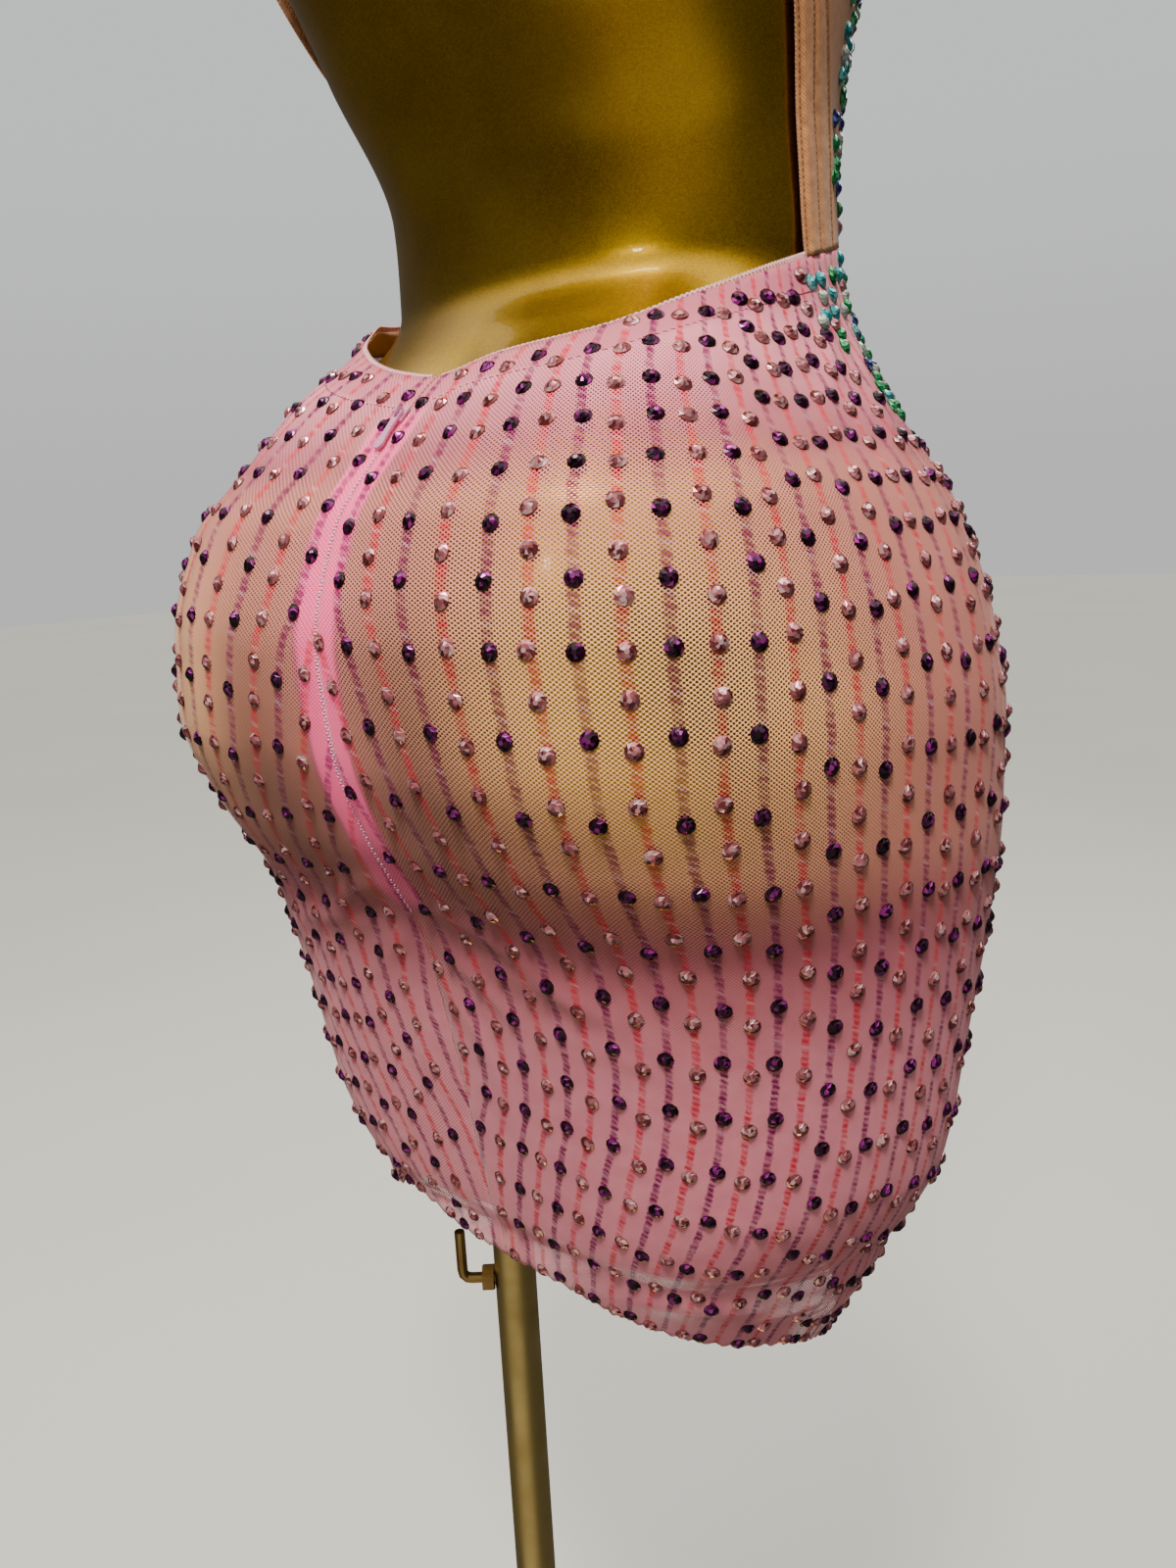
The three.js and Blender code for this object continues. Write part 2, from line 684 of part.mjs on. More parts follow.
function addSkirt() {
  add('skirt_front', skirtPanel(SIDE_SEAM, 360 - SIDE_SEAM), PINK_MESH, 0.8, 0);
  add('skirt_back_right', skirtPanel(0, SIDE_SEAM), PINK_MESH, 0.8, 0);
  add('skirt_back_left', skirtPanel(-SIDE_SEAM, 0), PINK_MESH, 0.8, 0);
  add('waist_elastic_right', waistElastic(1), PINK_MESH, 0.9, 0);
  add('waist_elastic_left', waistElastic(-1), PINK_MESH, 0.9, 0);
  add('zip_tape_right', zipTape(1), ZIP_PINK, 0.7, 0);
  add('zip_tape_left', zipTape(-1), ZIP_PINK, 0.7, 0);
}

function addBodice() {
  add('bodice_front', bodiceFront(), NUDE_MESH, 0.8, 0);
  for (const [name, side] of [['right', 1], ['left', -1]]) {
    add(`side_casing_${name}`, sideStrip(side, 0, CASING_WIDTH, 3, CASING_WALL), NUDE_MESH, 0.8, 0);
    add(`bodice_side_${name}`, sideStrip(side, CASING_WIDTH + SEAM, null, 6, WALL), NUDE_MESH, 0.8, 0);
    add(`shoulder_strap_${name}`, shoulderStrap(side), NUDE_MESH, 0.8, 0);
  }
}

// The slider sits on the meeting edges of the back panels, and its tab hangs from a small bridge
function addZipPull() {
  const seat = clothPoint(0, SLIDER_LEVEL, 0);
  const outward = bodyNormal(0, SLIDER_LEVEL).setX(0).normalize();
  const across = new THREE.Vector3(1, 0, 0);
  const down = new THREE.Vector3().crossVectors(across, outward).negate();
  const pull = new THREE.Group();
  pull.position.copy(seat);
  pull.setRotationFromMatrix(new THREE.Matrix4().makeBasis(down, across.clone().negate(), outward));
  part.add(pull);
  const plate = new THREE.BoxGeometry(SLIDER_LENGTH, SLIDER_WIDTH, SLIDER_HIGH - SLIDER_LOW);
  plate.translate(0, 0, (SLIDER_HIGH + SLIDER_LOW) / 2);
  const arch = new THREE.Shape();
  const sunk = (SLIDER_HIGH + SLIDER_LOW) / 2;
  arch.moveTo(BRIDGE_OUTER, sunk);
  arch.lineTo(BRIDGE_OUTER, PIVOT_HEIGHT);
  arch.absarc(0, PIVOT_HEIGHT, BRIDGE_OUTER, 0, Math.PI, false);
  arch.lineTo(-BRIDGE_OUTER, sunk);
  arch.lineTo(-BRIDGE_INNER, sunk);
  arch.lineTo(-BRIDGE_INNER, PIVOT_HEIGHT);
  arch.absarc(0, PIVOT_HEIGHT, BRIDGE_INNER, Math.PI, 0, true);
  arch.lineTo(BRIDGE_INNER, sunk);
  const bridge = new THREE.ExtrudeGeometry(arch, { depth: BRIDGE_WIDTH, bevelEnabled: false, curveSegments: 8 });
  bridge.rotateX(Math.PI / 2);
  bridge.translate(0, BRIDGE_WIDTH / 2, 0);
  add('zip_slider', fromManifold(toManifold(plate).add(toManifold(bridge))), LILAC, 0.4, 0.3, pull);

  const outline = new THREE.Shape();
  outline.moveTo(-TAB_EYE_NEAR, -TAB_NECK);
  outline.lineTo(TAB_EYE_FAR, -TAB_NECK);
  outline.quadraticCurveTo(TAB_LENGTH * 0.6, -TAB_NECK * 0.6, TAB_LENGTH - TAB_BELLY, -TAB_BELLY);
  outline.absarc(TAB_LENGTH - TAB_BELLY, 0, TAB_BELLY, -Math.PI / 2, Math.PI / 2, false);
  outline.quadraticCurveTo(TAB_LENGTH * 0.6, TAB_NECK * 0.6, TAB_EYE_FAR, TAB_NECK);
  outline.lineTo(-TAB_EYE_NEAR, TAB_NECK);
  const eye = new THREE.Path();
  eye.moveTo(TAB_EYE_NEAR, -TAB_EYE_WIDTH / 2);
  eye.lineTo(TAB_EYE_NEAR, TAB_EYE_WIDTH / 2);
  eye.lineTo(TAB_EYE_FAR, TAB_EYE_WIDTH / 2);
  eye.lineTo(TAB_EYE_FAR, -TAB_EYE_WIDTH / 2);
  outline.holes.push(eye);
  const tab = new THREE.ExtrudeGeometry(outline, { depth: TAB_THICKNESS, bevelEnabled: false, curveSegments: 6 });
  tab.translate(0, 0, -TAB_THICKNESS / 2);
  const tabMesh = add('zip_pull_tab', tab, LILAC, 0.4, 0.3, pull);
  tabMesh.position.z = PIVOT_HEIGHT;
  tabMesh.rotation.y = degrees(TAB_LEAN);
}

addStand();
add('dress_form', dressForm(), GOLD, 0.25, 0.8);
addSkirt();
addBodice();
addZipPull();

export default part;
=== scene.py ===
"""Looks of a mesh mini dress on a limbless dress form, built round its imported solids.

Sizes are in millimetres unless a name says otherwise. Every cloth piece lies on one body
surface, worked out from the same sections as the solids: an angle round the body, from the
back (0) towards the right side, and a level above or below the fullest part of the hip.
"""

from __future__ import annotations

import logging
import math
from dataclasses import dataclass, field
from enum import Enum
from typing import Callable, Sequence

import bmesh
import bpy
import numpy as np
from mathutils import Matrix, Vector

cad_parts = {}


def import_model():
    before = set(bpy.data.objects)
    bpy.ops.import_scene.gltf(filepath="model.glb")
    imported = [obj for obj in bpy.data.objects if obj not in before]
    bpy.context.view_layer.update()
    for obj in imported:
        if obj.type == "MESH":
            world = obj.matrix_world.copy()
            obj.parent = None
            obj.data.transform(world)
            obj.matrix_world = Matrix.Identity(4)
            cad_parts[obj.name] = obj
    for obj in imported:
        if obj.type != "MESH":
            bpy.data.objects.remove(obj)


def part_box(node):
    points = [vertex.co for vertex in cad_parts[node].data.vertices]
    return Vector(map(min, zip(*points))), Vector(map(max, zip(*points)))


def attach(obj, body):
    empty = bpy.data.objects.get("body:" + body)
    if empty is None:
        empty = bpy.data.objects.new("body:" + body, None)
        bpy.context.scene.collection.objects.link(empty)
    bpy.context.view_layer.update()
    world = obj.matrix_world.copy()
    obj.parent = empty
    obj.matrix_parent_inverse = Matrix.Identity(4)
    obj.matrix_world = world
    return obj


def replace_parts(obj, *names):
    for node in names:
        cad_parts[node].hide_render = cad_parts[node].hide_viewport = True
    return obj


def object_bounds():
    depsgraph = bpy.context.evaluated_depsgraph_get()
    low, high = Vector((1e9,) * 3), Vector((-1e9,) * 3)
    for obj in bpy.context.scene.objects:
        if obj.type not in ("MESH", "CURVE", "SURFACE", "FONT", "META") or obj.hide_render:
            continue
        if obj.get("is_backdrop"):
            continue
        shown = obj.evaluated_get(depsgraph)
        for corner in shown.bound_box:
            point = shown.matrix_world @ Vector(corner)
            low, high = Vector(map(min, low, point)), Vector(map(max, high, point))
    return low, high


LOG = logging.getLogger("mesh_mini_dress")
MM = 0.001
DRESSED = "dressed_form"
CLOTH_UV = "cloth"
Array = np.ndarray
Place = Callable[[Array, Array], Array]
Map = Callable[[Array, Array], tuple[Array, Array]]
Outline = Sequence[tuple[float, float]]


def gauss(offset: Array, spread: float) -> Array:
    """Bell curve of height 1."""
    return np.exp(-((offset / spread) ** 2))


def smooth(value: Array) -> Array:
    """Smooth step from 0 to 1."""
    held = np.clip(value, 0, 1)
    return held * held * (3 - 2 * held)


def wrap(angle: Array) -> Array:
    """The same angle between -180 and 180 degrees."""
    return np.mod(angle + 180, 360) - 180


def unit(vectors: Array) -> Array:
    """Vectors of length 1 along the last axis."""
    return vectors / np.linalg.norm(vectors, axis=-1, keepdims=True)


def linear(hex_colour: str) -> tuple[float, float, float, float]:
    """Turns an sRGB hex colour such as #e3a0b4 to linear light.

    Args:
        hex_colour: The colour as a hash and six hex digits.

    Returns:
        Red, green, blue and an alpha of 1.
    """
    parts = [int(hex_colour[i : i + 2], 16) / 255 for i in (1, 3, 5)]
    light = [p / 12.92 if p <= 0.04045 else ((p + 0.055) / 1.055) ** 2.4 for p in parts]
    return (light[0], light[1], light[2], 1.0)


class Curve:
    """Smooth curve through a table's rows that never overshoots them."""

    def __init__(self, positions: Sequence[float], values: Sequence[float]) -> None:
        """Works out the tangent at each row.

        Args:
            positions: The first column, rising.
            values: The column that the curve follows.
        """
        self.positions = np.array(positions, float)
        self.values = np.array(values, float)
        slopes = np.diff(self.values) / np.diff(self.positions)
        before, after = slopes[:-1], slopes[1:]
        same_way = before * after > 0
        total = np.where(same_way, before + after, 1)
        inner = np.where(same_way, 2 * before * after / total, 0)
        self.tangents = np.concatenate([slopes[:1], inner, slopes[-1:]])

    def __call__(self, position: Array) -> Array:
        """The curve's value at each position."""
        row = np.searchsorted(self.positions, position, side="left") - 1
        row = np.clip(row, 0, len(self.positions) - 2)
        span = self.positions[row + 1] - self.positions[row]
        t = np.clip((position - self.positions[row]) / span, 0, 1)
        start = self.values[row] + t * (t - 1) ** 2 * span * self.tangents[row]
        rise = t * t * (3 - 2 * t) * (self.values[row + 1] - self.values[row])
        return start + rise + t * t * (t - 1) * span * self.tangents[row + 1]


def table_curves(columns: Sequence[str], rows: Sequence[Sequence[float]]) -> dict[str, Curve]:
    """One curve for each named column of a table, over its first column."""
    first = [row[0] for row in rows]
    return {name: Curve(first, [row[i + 1] for row in rows]) for i, name in enumerate(columns[1:])}


SECTION_COLUMNS = ("level", "half_width", "back", "front", "back_lobe", "front_lobe")
SECTIONS = (
    (-305, 111, 80, 86, 0, 0),
    (-265, 133, 89, 89, 6, 0),
    (-228, 153, 98, 92, 13, 0),
    (-192, 169, 104, 94, 16, 0),
    (-137, 178, 114, 96, 16, 0),
    (-82, 186, 127, 99, 17, 0),
    (-37, 190, 150, 101, 22, 0),
    (0, 190, 162, 102, 26, 0),
    (37, 184, 165, 101, 24, 0),
    (82, 167, 151, 98, 25, 0),
    (110, 147, 127, 97, 21, 0),
    (132, 132, 104, 97, 18, 0),
    (155, 120, 76, 96, 7, 0),
    (180, 114, 58, 94, 0, 0),
    (219, 112, 54, 91, 4, 0),
    (274, 121, 82, 92, 11, 2),
    (338, 140, 108, 106, 13, 10),
    (390, 150, 114, 119, 11, 20),
    (440, 155, 115, 112, 8, 11),
    (490, 162, 111, 101, 5, 2),
    (535, 169, 102, 89, 2, 0),
    (570, 171, 91, 78, 0, 0),
    (592, 160, 80, 68, 0, 0),
    (608, 126, 70, 60, 0, 0),
    (622, 88, 62, 54, 0, 0),
    (640, 65, 57, 50, 0, 0),
    (665, 57, 54, 48, 0, 0),
    (690, 56, 53, 48, 0, 0),
)
EDGE_COLUMNS = ("angle", "top_edge", "hem")
EDGES = (
    (-180, 188, -305),
    (-130, 188, -304),
    (-90, 180, -296),
    (-60, 172, -275),
    (-40, 158, -256),
    (-25, 149, -242),
    (-10, 142, -250),
    (0, 139, -253),
    (12, 145, -255),
    (30, 148, -266),
    (50, 159, -278),
    (70, 169, -287),
    (90, 176, -299),
    (130, 188, -304),
    (180, 188, -305),
)
WING_COLUMNS = ("level", "angle")
WING = (
    (168, 84),
    (219, 81),
    (256, 77),
    (280, 71),
    (300, 64),
    (330, 57),
    (360, 52),
    (392, 49),
)
NECKLINE_COLUMNS = ("angle", "level")
NECKLINE = (
    (110, 408),
    (122, 428),
    (132, 456),
    (138, 476),
    (146, 478),
    (156, 462),
    (168, 444),
    (180, 438),
)
STRAP_ROUTE = (
    (54.5, 394.2),
    (48, 440),
    (41, 490),
    (38, 535),
    (38, 566),
    (41, 588),
    (47, 600),
    (58, 608),
    (77, 613),
    (101, 613),
    (120, 608),
    (132, 600),
    (139, 588),
    (142, 566),
    (142.5, 535),
    (142, 505),
    (141, 479.8),
)
HIP_HEIGHT = 850
FORM_BOTTOM = -228
NECK_TOP = 690
BODICE_TOP_BACK = 392
BODICE_TOP_SIDE = 404
FRONT_SEAM = 110
SIDE_SEAM = 100
CASING_WIDTH = 20
ELASTIC_WIDTH = 12
ZIP_BOTTOM = -75
SLIDER_LEVEL = 123
TAPE_WIDTH = 11


@dataclass(frozen=True)
class Crease:
    """One soft ridge or trough in the stretched cloth.

    The slant is the angle of its run to the horizontal; a negative rise is a trough.
    """

    angle: float
    level: float
    reach: float
    width: float
    rise: float
    slant: float


# Drag lines under the back of the hips, at the sides of the waist and along the hem,
# and like ones on the side and front that the photo doesn't show.
CREASES = (
    Crease(13, -76, 34, 5.0, 1.9, -24),
    Crease(24, -97, 40, 6.5, 1.4, -14),
    Crease(9, -101, 22, 4.5, 1.5, -40),
    Crease(-12, -72, 30, 5.0, 2.1, 28),
    Crease(-23, -90, 42, 6.0, 1.6, 15),
    Crease(-8, -98, 20, 4.0, 1.3, 44),
    Crease(5, -124, 26, 4.5, 1.1, -62),
    Crease(-6, -140, 24, 4.0, 1.0, 66),
    Crease(30, -118, 30, 7.0, 0.8, -8),
    Crease(78, 128, 26, 4.0, 1.1, 52),
    Crease(86, 104, 30, 5.0, 0.9, 44),
    Crease(95, 134, 22, 4.0, 1.0, 60),
    Crease(-76, 132, 26, 4.5, 1.2, -50),
    Crease(-88, 110, 30, 5.0, 0.9, -42),
    Crease(18, -240, 20, 4.0, 1.3, 8),
    Crease(44, -250, 24, 5.0, 1.2, -6),
    Crease(66, -258, 18, 4.0, 1.5, 5),
    Crease(84, -270, 22, 5.0, 1.0, -8),
    Crease(-34, -246, 24, 4.5, 1.3, 6),
    Crease(-70, -262, 20, 4.0, 1.1, -5),
    Crease(112, -272, 24, 5.0, 1.2, 6),
    Crease(141, -280, 20, 4.0, 1.0, -7),
    Crease(172, -276, 26, 5.5, 1.3, 3),
    Crease(-128, -268, 22, 4.5, 1.2, 5),
    Crease(-158, -284, 18, 4.0, 0.9, -4),
    Crease(124, 60, 34, 7.0, 0.7, 22),
    Crease(-126, 44, 36, 7.0, 0.8, -20),
    Crease(158, -60, 40, 8.0, 0.7, 10),
    Crease(-166, -20, 38, 7.0, 0.7, -12),
)


class Body:
    """The body surface and the cloth and form surfaces that are laid on it."""

    AXIS_X = -29
    AXIS_Y = -60
    BACK_LOBE = (38, 24)
    FRONT_LOBE = (152, 20)
    FORM_CLEARANCE = 1.7
    STAND_OFF_LEFT = 8
    STAND_OFF_RIGHT = 2.5
    STAND_OFF = (52, 28)
    STAND_OFF_FALL = 40
    STAND_OFF_END = 380
    STAND_OFF_FADE = 60
    TUCK = (-238, 8)
    TUCK_DEPTH = 2.2
    VALLEY = 4
    VALLEY_WIDTH = 18
    VALLEY_LEVELS = (-120, 160)
    VALLEY_FADE = 25
    RELIEF = 2
    RELIEF_SPREAD = 18
    BODICE_RISE = 1.3
    BODICE_BLEND = 40
    CREASE_BEND = 0.004

    def __init__(self) -> None:
        """Makes the curves of every section and edge."""
        self.section = table_curves(SECTION_COLUMNS, SECTIONS)
        self.edges = table_curves(EDGE_COLUMNS, EDGES)
        self.wing = table_curves(WING_COLUMNS, WING)["angle"]
        self.neckline = table_curves(NECKLINE_COLUMNS, NECKLINE)["level"]

    def top_edge(self, angle: Array) -> Array:
        """Level of the skirt's top edge."""
        return self.edges["top_edge"](wrap(angle))

    def hem(self, angle: Array) -> Array:
        """Level of the skirt's hem."""
        return self.edges["hem"](wrap(angle))

    def point(self, angle: Array, level: Array) -> Array:
        """Points of the body surface, in the part's frame."""
        turn = np.radians(angle)
        away = np.abs(wrap(angle))
        depth = np.where(np.cos(turn) > 0, self.section["back"](level), self.section["front"](level))
        lobe = 0
        for name, (middle, spread) in (("back_lobe", self.BACK_LOBE), ("front_lobe", self.FRONT_LOBE)):
            lobe = lobe + self.section[name](level) * gauss(away - middle, spread)
        return np.stack(
            [
                self.AXIS_X - (self.section["half_width"](level) + lobe) * np.sin(turn),
                self.AXIS_Y + (depth + lobe) * np.cos(turn),
                HIP_HEIGHT + level + 0 * turn,
            ],
            axis=-1,
        )

    def normal(self, angle: Array, level: Array) -> Array:
        """Outward unit normals of the body surface."""
        step = 0.5
        around = self.point(angle + step, level) - self.point(angle - step, level)
        rise = self.point(angle, level + step) - self.point(angle, level - step)
        return unit(np.cross(around, rise))

    def arm(self, angle: Array, level: Array) -> Array:
        """Millimetres along the surface for one degree round the body."""
        return np.linalg.norm(self.point(angle + 0.5, level) - self.point(angle - 0.5, level), axis=-1)

    def beyond(self, angle: Array, level: Array, distance: Array) -> Array:
        """Angle that lies a distance along the cloth from a given angle."""
        return angle + distance / self.arm(angle, level)

    def creases(self, angle: Array, level: Array) -> Array:
        """Height of the soft folds over the taut cloth."""
        height = np.zeros(np.broadcast(angle, level).shape)
        for crease in CREASES:
            near = self.arm(np.array(crease.angle), np.array(crease.level))
            x = wrap(angle - crease.angle) * near
            y = level - crease.level
            turn = math.radians(crease.slant)
            along = x * math.cos(turn) + y * math.sin(turn)
            across = y * math.cos(turn) - x * math.sin(turn) + self.CREASE_BEND * along**2
            height = height + crease.rise * gauss(along, crease.reach) * gauss(across, crease.width)
        return height

    def cloth(self, angle: Array, level: Array, outward: Array) -> Array:
        """Points of the cloth, a distance outside the surface on which the solids' walls start."""
        side = wrap(angle)
        most = np.where(side < 0, self.STAND_OFF_LEFT, self.STAND_OFF_RIGHT)
        below = np.minimum(0, level - self.top_edge(angle))
        above = smooth((level - self.STAND_OFF_END) / self.STAND_OFF_FADE)
        stand_off = most * gauss(np.abs(side) - self.STAND_OFF[0], self.STAND_OFF[1])
        stand_off = stand_off * gauss(below, self.STAND_OFF_FALL) * (1 - above)
        tuck = self.TUCK_DEPTH * gauss(level - self.TUCK[0], self.TUCK[1])
        lift = outward + stand_off - tuck + self.creases(angle, level)
        return self.point(angle, level) + self.normal(angle, level) * lift[..., None]

    def bodice(self, angle: Array, level: Array, outward: Array) -> Array:
        """Points of the bodice, which rises clear of the skirt's top edge."""
        rise = self.BODICE_RISE * smooth((level - self.top_edge(angle)) / self.BODICE_BLEND)
        return self.cloth(angle, level, outward + rise)

    def at(self, outward: float, of_bodice: bool = False) -> Place:
        """The cloth's or the bodice's surface at one distance outside where the solids' walls start."""
        laid = self.bodice if of_bodice else self.cloth

        def surface(angle: Array, level: Array) -> Array:
            """Points of that surface."""
            return laid(angle, level, outward + 0 * (angle + level))

        return surface

    def form(self, angle: Array, level: Array) -> Array:
        """Points of the dress form inside the cloth, deeper under the zip and the elastic."""
        point = self.point(angle, level)
        from_axis = np.hypot(point[..., 0] - self.AXIS_X, point[..., 1] - self.AXIS_Y)
        arc = from_axis * np.radians(wrap(angle))
        low, high = self.VALLEY_LEVELS
        reach = smooth((level - low) / self.VALLEY_FADE) * smooth((high - level) / self.VALLEY_FADE)
        valley = self.VALLEY * gauss(arc, self.VALLEY_WIDTH) * reach
        relief = self.RELIEF * gauss(level - self.top_edge(angle) + ELASTIC_WIDTH / 2, self.RELIEF_SPREAD)
        return point - self.normal(angle, level) * (self.FORM_CLEARANCE + valley + relief)[..., None]


# Guide stripes on the right half: the angle of the numbered purple stripes at each level.
# The centre-back seam cuts the stripes, so they run into it at the hip and at the hem.
GUIDE_COLUMNS = ("level", "0", "1", "3", "6", "10")
GUIDES = (
    (-305, -2, 6, 20.5, 42, 80),
    (-235, -1.6, 6.3, 21.2, 43.4, 80),
    (-205, -0.3, 8, 22.8, 45, 80),
    (-180, 1.8, 10.1, 24.6, 46.6, 80.4),
    (-155, 5, 12.8, 26.8, 47.8, 81),
    (-120, 6.3, 14, 28.2, 48.6, 81),
    (-88, 4.5, 13.5, 28, 48.8, 80.3),
    (-45, 3.3, 11.2, 26.8, 49.5, 80.5),
    (0, 0, 9, 26.6, 50.2, 82),
    (38, -4, 6.3, 26.2, 51.8, 83),
    (60, -7.5, 3.5, 26, 52.5, 83.2),
    (100, -8, 2.8, 25.8, 52.6, 83.2),
    (140, -9, 2.5, 24, 51, 83),
    (190, -10, 0, 22, 50, 83),
)
ROW_COLUMNS = ("level", "dark", "rose")
ROW_SPACING = (
    (-305, 20, 18),
    (-230, 23.5, 21),
    (-110, 22, 20.5),
    (-70, 22, 16.5),
    (-30, 29, 18.5),
    (25, 28, 16.5),
    (60, 21.5, 15.5),
    (95, 16, 13),
    (125, 12.5, 12.5),
    (200, 12.5, 12.5),
)


class Print:
    """The printed stripes and the net, in the flat cloth's own millimetres."""

    PITCH = 17.4
    SIDE_STEP = 7.8
    LEFT_DRIFT = 4.5
    LEFT_DRIFT_FADE = (10, 70)
    STRETCH = 0.3
    STRETCH_LEVEL = 30
    STRETCH_SPREAD = 95
    LEVELS = (-310, 200)
    AROUND = np.linspace(0, 190, 381)

    def __init__(self) -> None:
        """Makes the guide stripes' curves."""
        self.guides = table_curves(GUIDE_COLUMNS, GUIDES)
        self.numbers = [float(name) for name in GUIDE_COLUMNS[1:]]
        levels = np.arange(*self.LEVELS, 1.0)
        ratio = 1 + self.STRETCH * gauss(levels - self.STRETCH_LEVEL, self.STRETCH_SPREAD)
        self.levels = levels
        self.flat_length = np.concatenate([[0], np.cumsum(1 / ratio[:-1])])

    def stripe_number(self, angle: Array, level: Array) -> Array:
        """Number of the stripe at a place: whole for purple stripes, half for coral ones."""
        angle, level = np.broadcast_arrays(angle, level)
        side = wrap(angle)
        top, fade = self.LEFT_DRIFT_FADE
        away = np.abs(side) - np.where(side < 0, self.LEFT_DRIFT * smooth((top - level) / fade), 0)
        guides = [self.guides[name](level) for name in GUIDE_COLUMNS[1:]]
        number = self.numbers[0] + (away - guides[0]) / self.SIDE_STEP
        for i, low in enumerate(guides):
            step = self.SIDE_STEP
            if i < len(guides) - 1:
                step = (guides[i + 1] - low) / (self.numbers[i + 1] - self.numbers[i])
            number = np.where(away >= low, self.numbers[i] + (away - low) / step, number)
        return number

    def angle_of(self, number: float, side: int, level: Array) -> Array:
        """Angle of a numbered stripe on one side, at each level.

        Args:
            number: The stripe's number.
            side: 1 on the right and -1 on the left.
            level: Levels on the body.

        Returns:
            The angle round the body, from the back towards the right.
        """
        short_of_front = np.minimum(self.AROUND, 179.99)
        grid = self.stripe_number(side * short_of_front[None, :], level[:, None])
        angles = [np.interp(number, row, self.AROUND) for row in grid]
        inside = (number >= grid[:, 0]) & (number <= grid[:, -1])
        return np.where(inside, side * np.array(angles), np.nan)

    def uv(self, angle: Array, level: Array) -> Array:
        """Flat cloth coordinates: across the stripes and along them."""
        across = self.stripe_number(angle, level) * self.PITCH * np.where(wrap(angle) < 0, -1, 1)
        along = np.interp(level, self.levels, self.flat_length)
        return np.stack([across, along + 0 * across], axis=-1)


# Shares by which the net is pulled open, and where they reach, as a middle or edge and a width
SLACK_OPEN = 0.28
HIP_OPEN = 0.4
HIP_FOOT = (-150, 115)
HIP_HEAD = (148, 60)
FRONT_LOSS = 0.25
FRONT_START = (95, 50)
FULLEST_OPEN = 0.32
FULLEST_AROUND = (41, 22)
FULLEST_LEVEL = (14, 48)


def openness(angle: Array, level: Array) -> Array:
    """How far the net is stretched open: most where it is taut over the hips' fullest part."""
    away = np.abs(wrap(angle))
    hip = smooth((level - HIP_FOOT[0]) / HIP_FOOT[1]) * smooth((HIP_HEAD[0] - level) / HIP_HEAD[1])
    front = 1 - FRONT_LOSS * smooth((away - FRONT_START[0]) / FRONT_START[1])
    fullest = gauss(away - FULLEST_AROUND[0], FULLEST_AROUND[1])
    fullest = fullest * gauss(level - FULLEST_LEVEL[0], FULLEST_LEVEL[1])
    return SLACK_OPEN + HIP_OPEN * hip * front + FULLEST_OPEN * fullest


class Tree:
    """A material's or world's node tree."""

    def __init__(self, owner: bpy.types.ID) -> None:
        """Empties the owner's node tree."""
        owner.use_nodes = True
        self.nodes = owner.node_tree.nodes
        self.links = owner.node_tree.links
        self.nodes.clear()

    def add(
        self,
        kind: str,
        inputs: dict[int | str, object] | None = None,
        settings: dict[str, object] | None = None,
        output: int | str = 0,
    ) -> bpy.types.NodeSocket:
        """Adds one node with its settings and links.

        Args:
            kind: The node's Blender type.
            inputs: Values or sockets for its inputs, by name or number.
            settings: Properties of the node itself.
            output: Which of its outputs is wanted.

        Returns:
            The wanted output socket.
        """
        node = self.nodes.new(kind)
        for name, value in (settings or {}).items():
            setattr(node, name, value)
        for key, value in (inputs or {}).items():
            if isinstance(value, bpy.types.NodeSocket):
                self.links.new(value, node.inputs[key])
            else:
                node.inputs[key].default_value = value
        return node.outputs[output] if len(node.outputs) else None


MATH = "ShaderNodeMath"
NOISE = "ShaderNodeTexNoise"
ATTRIBUTE = "ShaderNodeAttribute"
BUMP = "ShaderNodeBump"
PRINCIPLED = "ShaderNodeBsdfPrincipled"
# A range node reads from its socket 1 to its socket 2 and gives 3 to 4
RANGE = "ShaderNodeMapRange"
# A colour mix takes its share at socket 0 and its colours at 6 and 7, and gives a colour at output 2
MIX = "ShaderNodeMix"
COLOUR_MIX = {"data_type": "RGBA"}
COLOUR = 2
TIMES = {"operation": "MULTIPLY"}
TIMES_PLUS = {"operation": "MULTIPLY_ADD"}
MINUS = {"operation": "SUBTRACT"}
SINE = {"operation": "SINE"}
EASED = {"interpolation_type": "SMOOTHSTEP"}
FLAT = {"noise_dimensions": "2D"}
FULL_TURN = 2 * math.pi
AddNode = Callable[..., bpy.types.NodeSocket]


class Surface:
    """A finish that is one material; each kind of finish builds its own shader."""

    name: str

    def make(self) -> bpy.types.Material:
        """Builds the material."""
        material = bpy.data.materials.new(self.name)
        tree = Tree(material)
        tree.add("ShaderNodeOutputMaterial", {"Surface": self.shader(tree.add)})
        return material


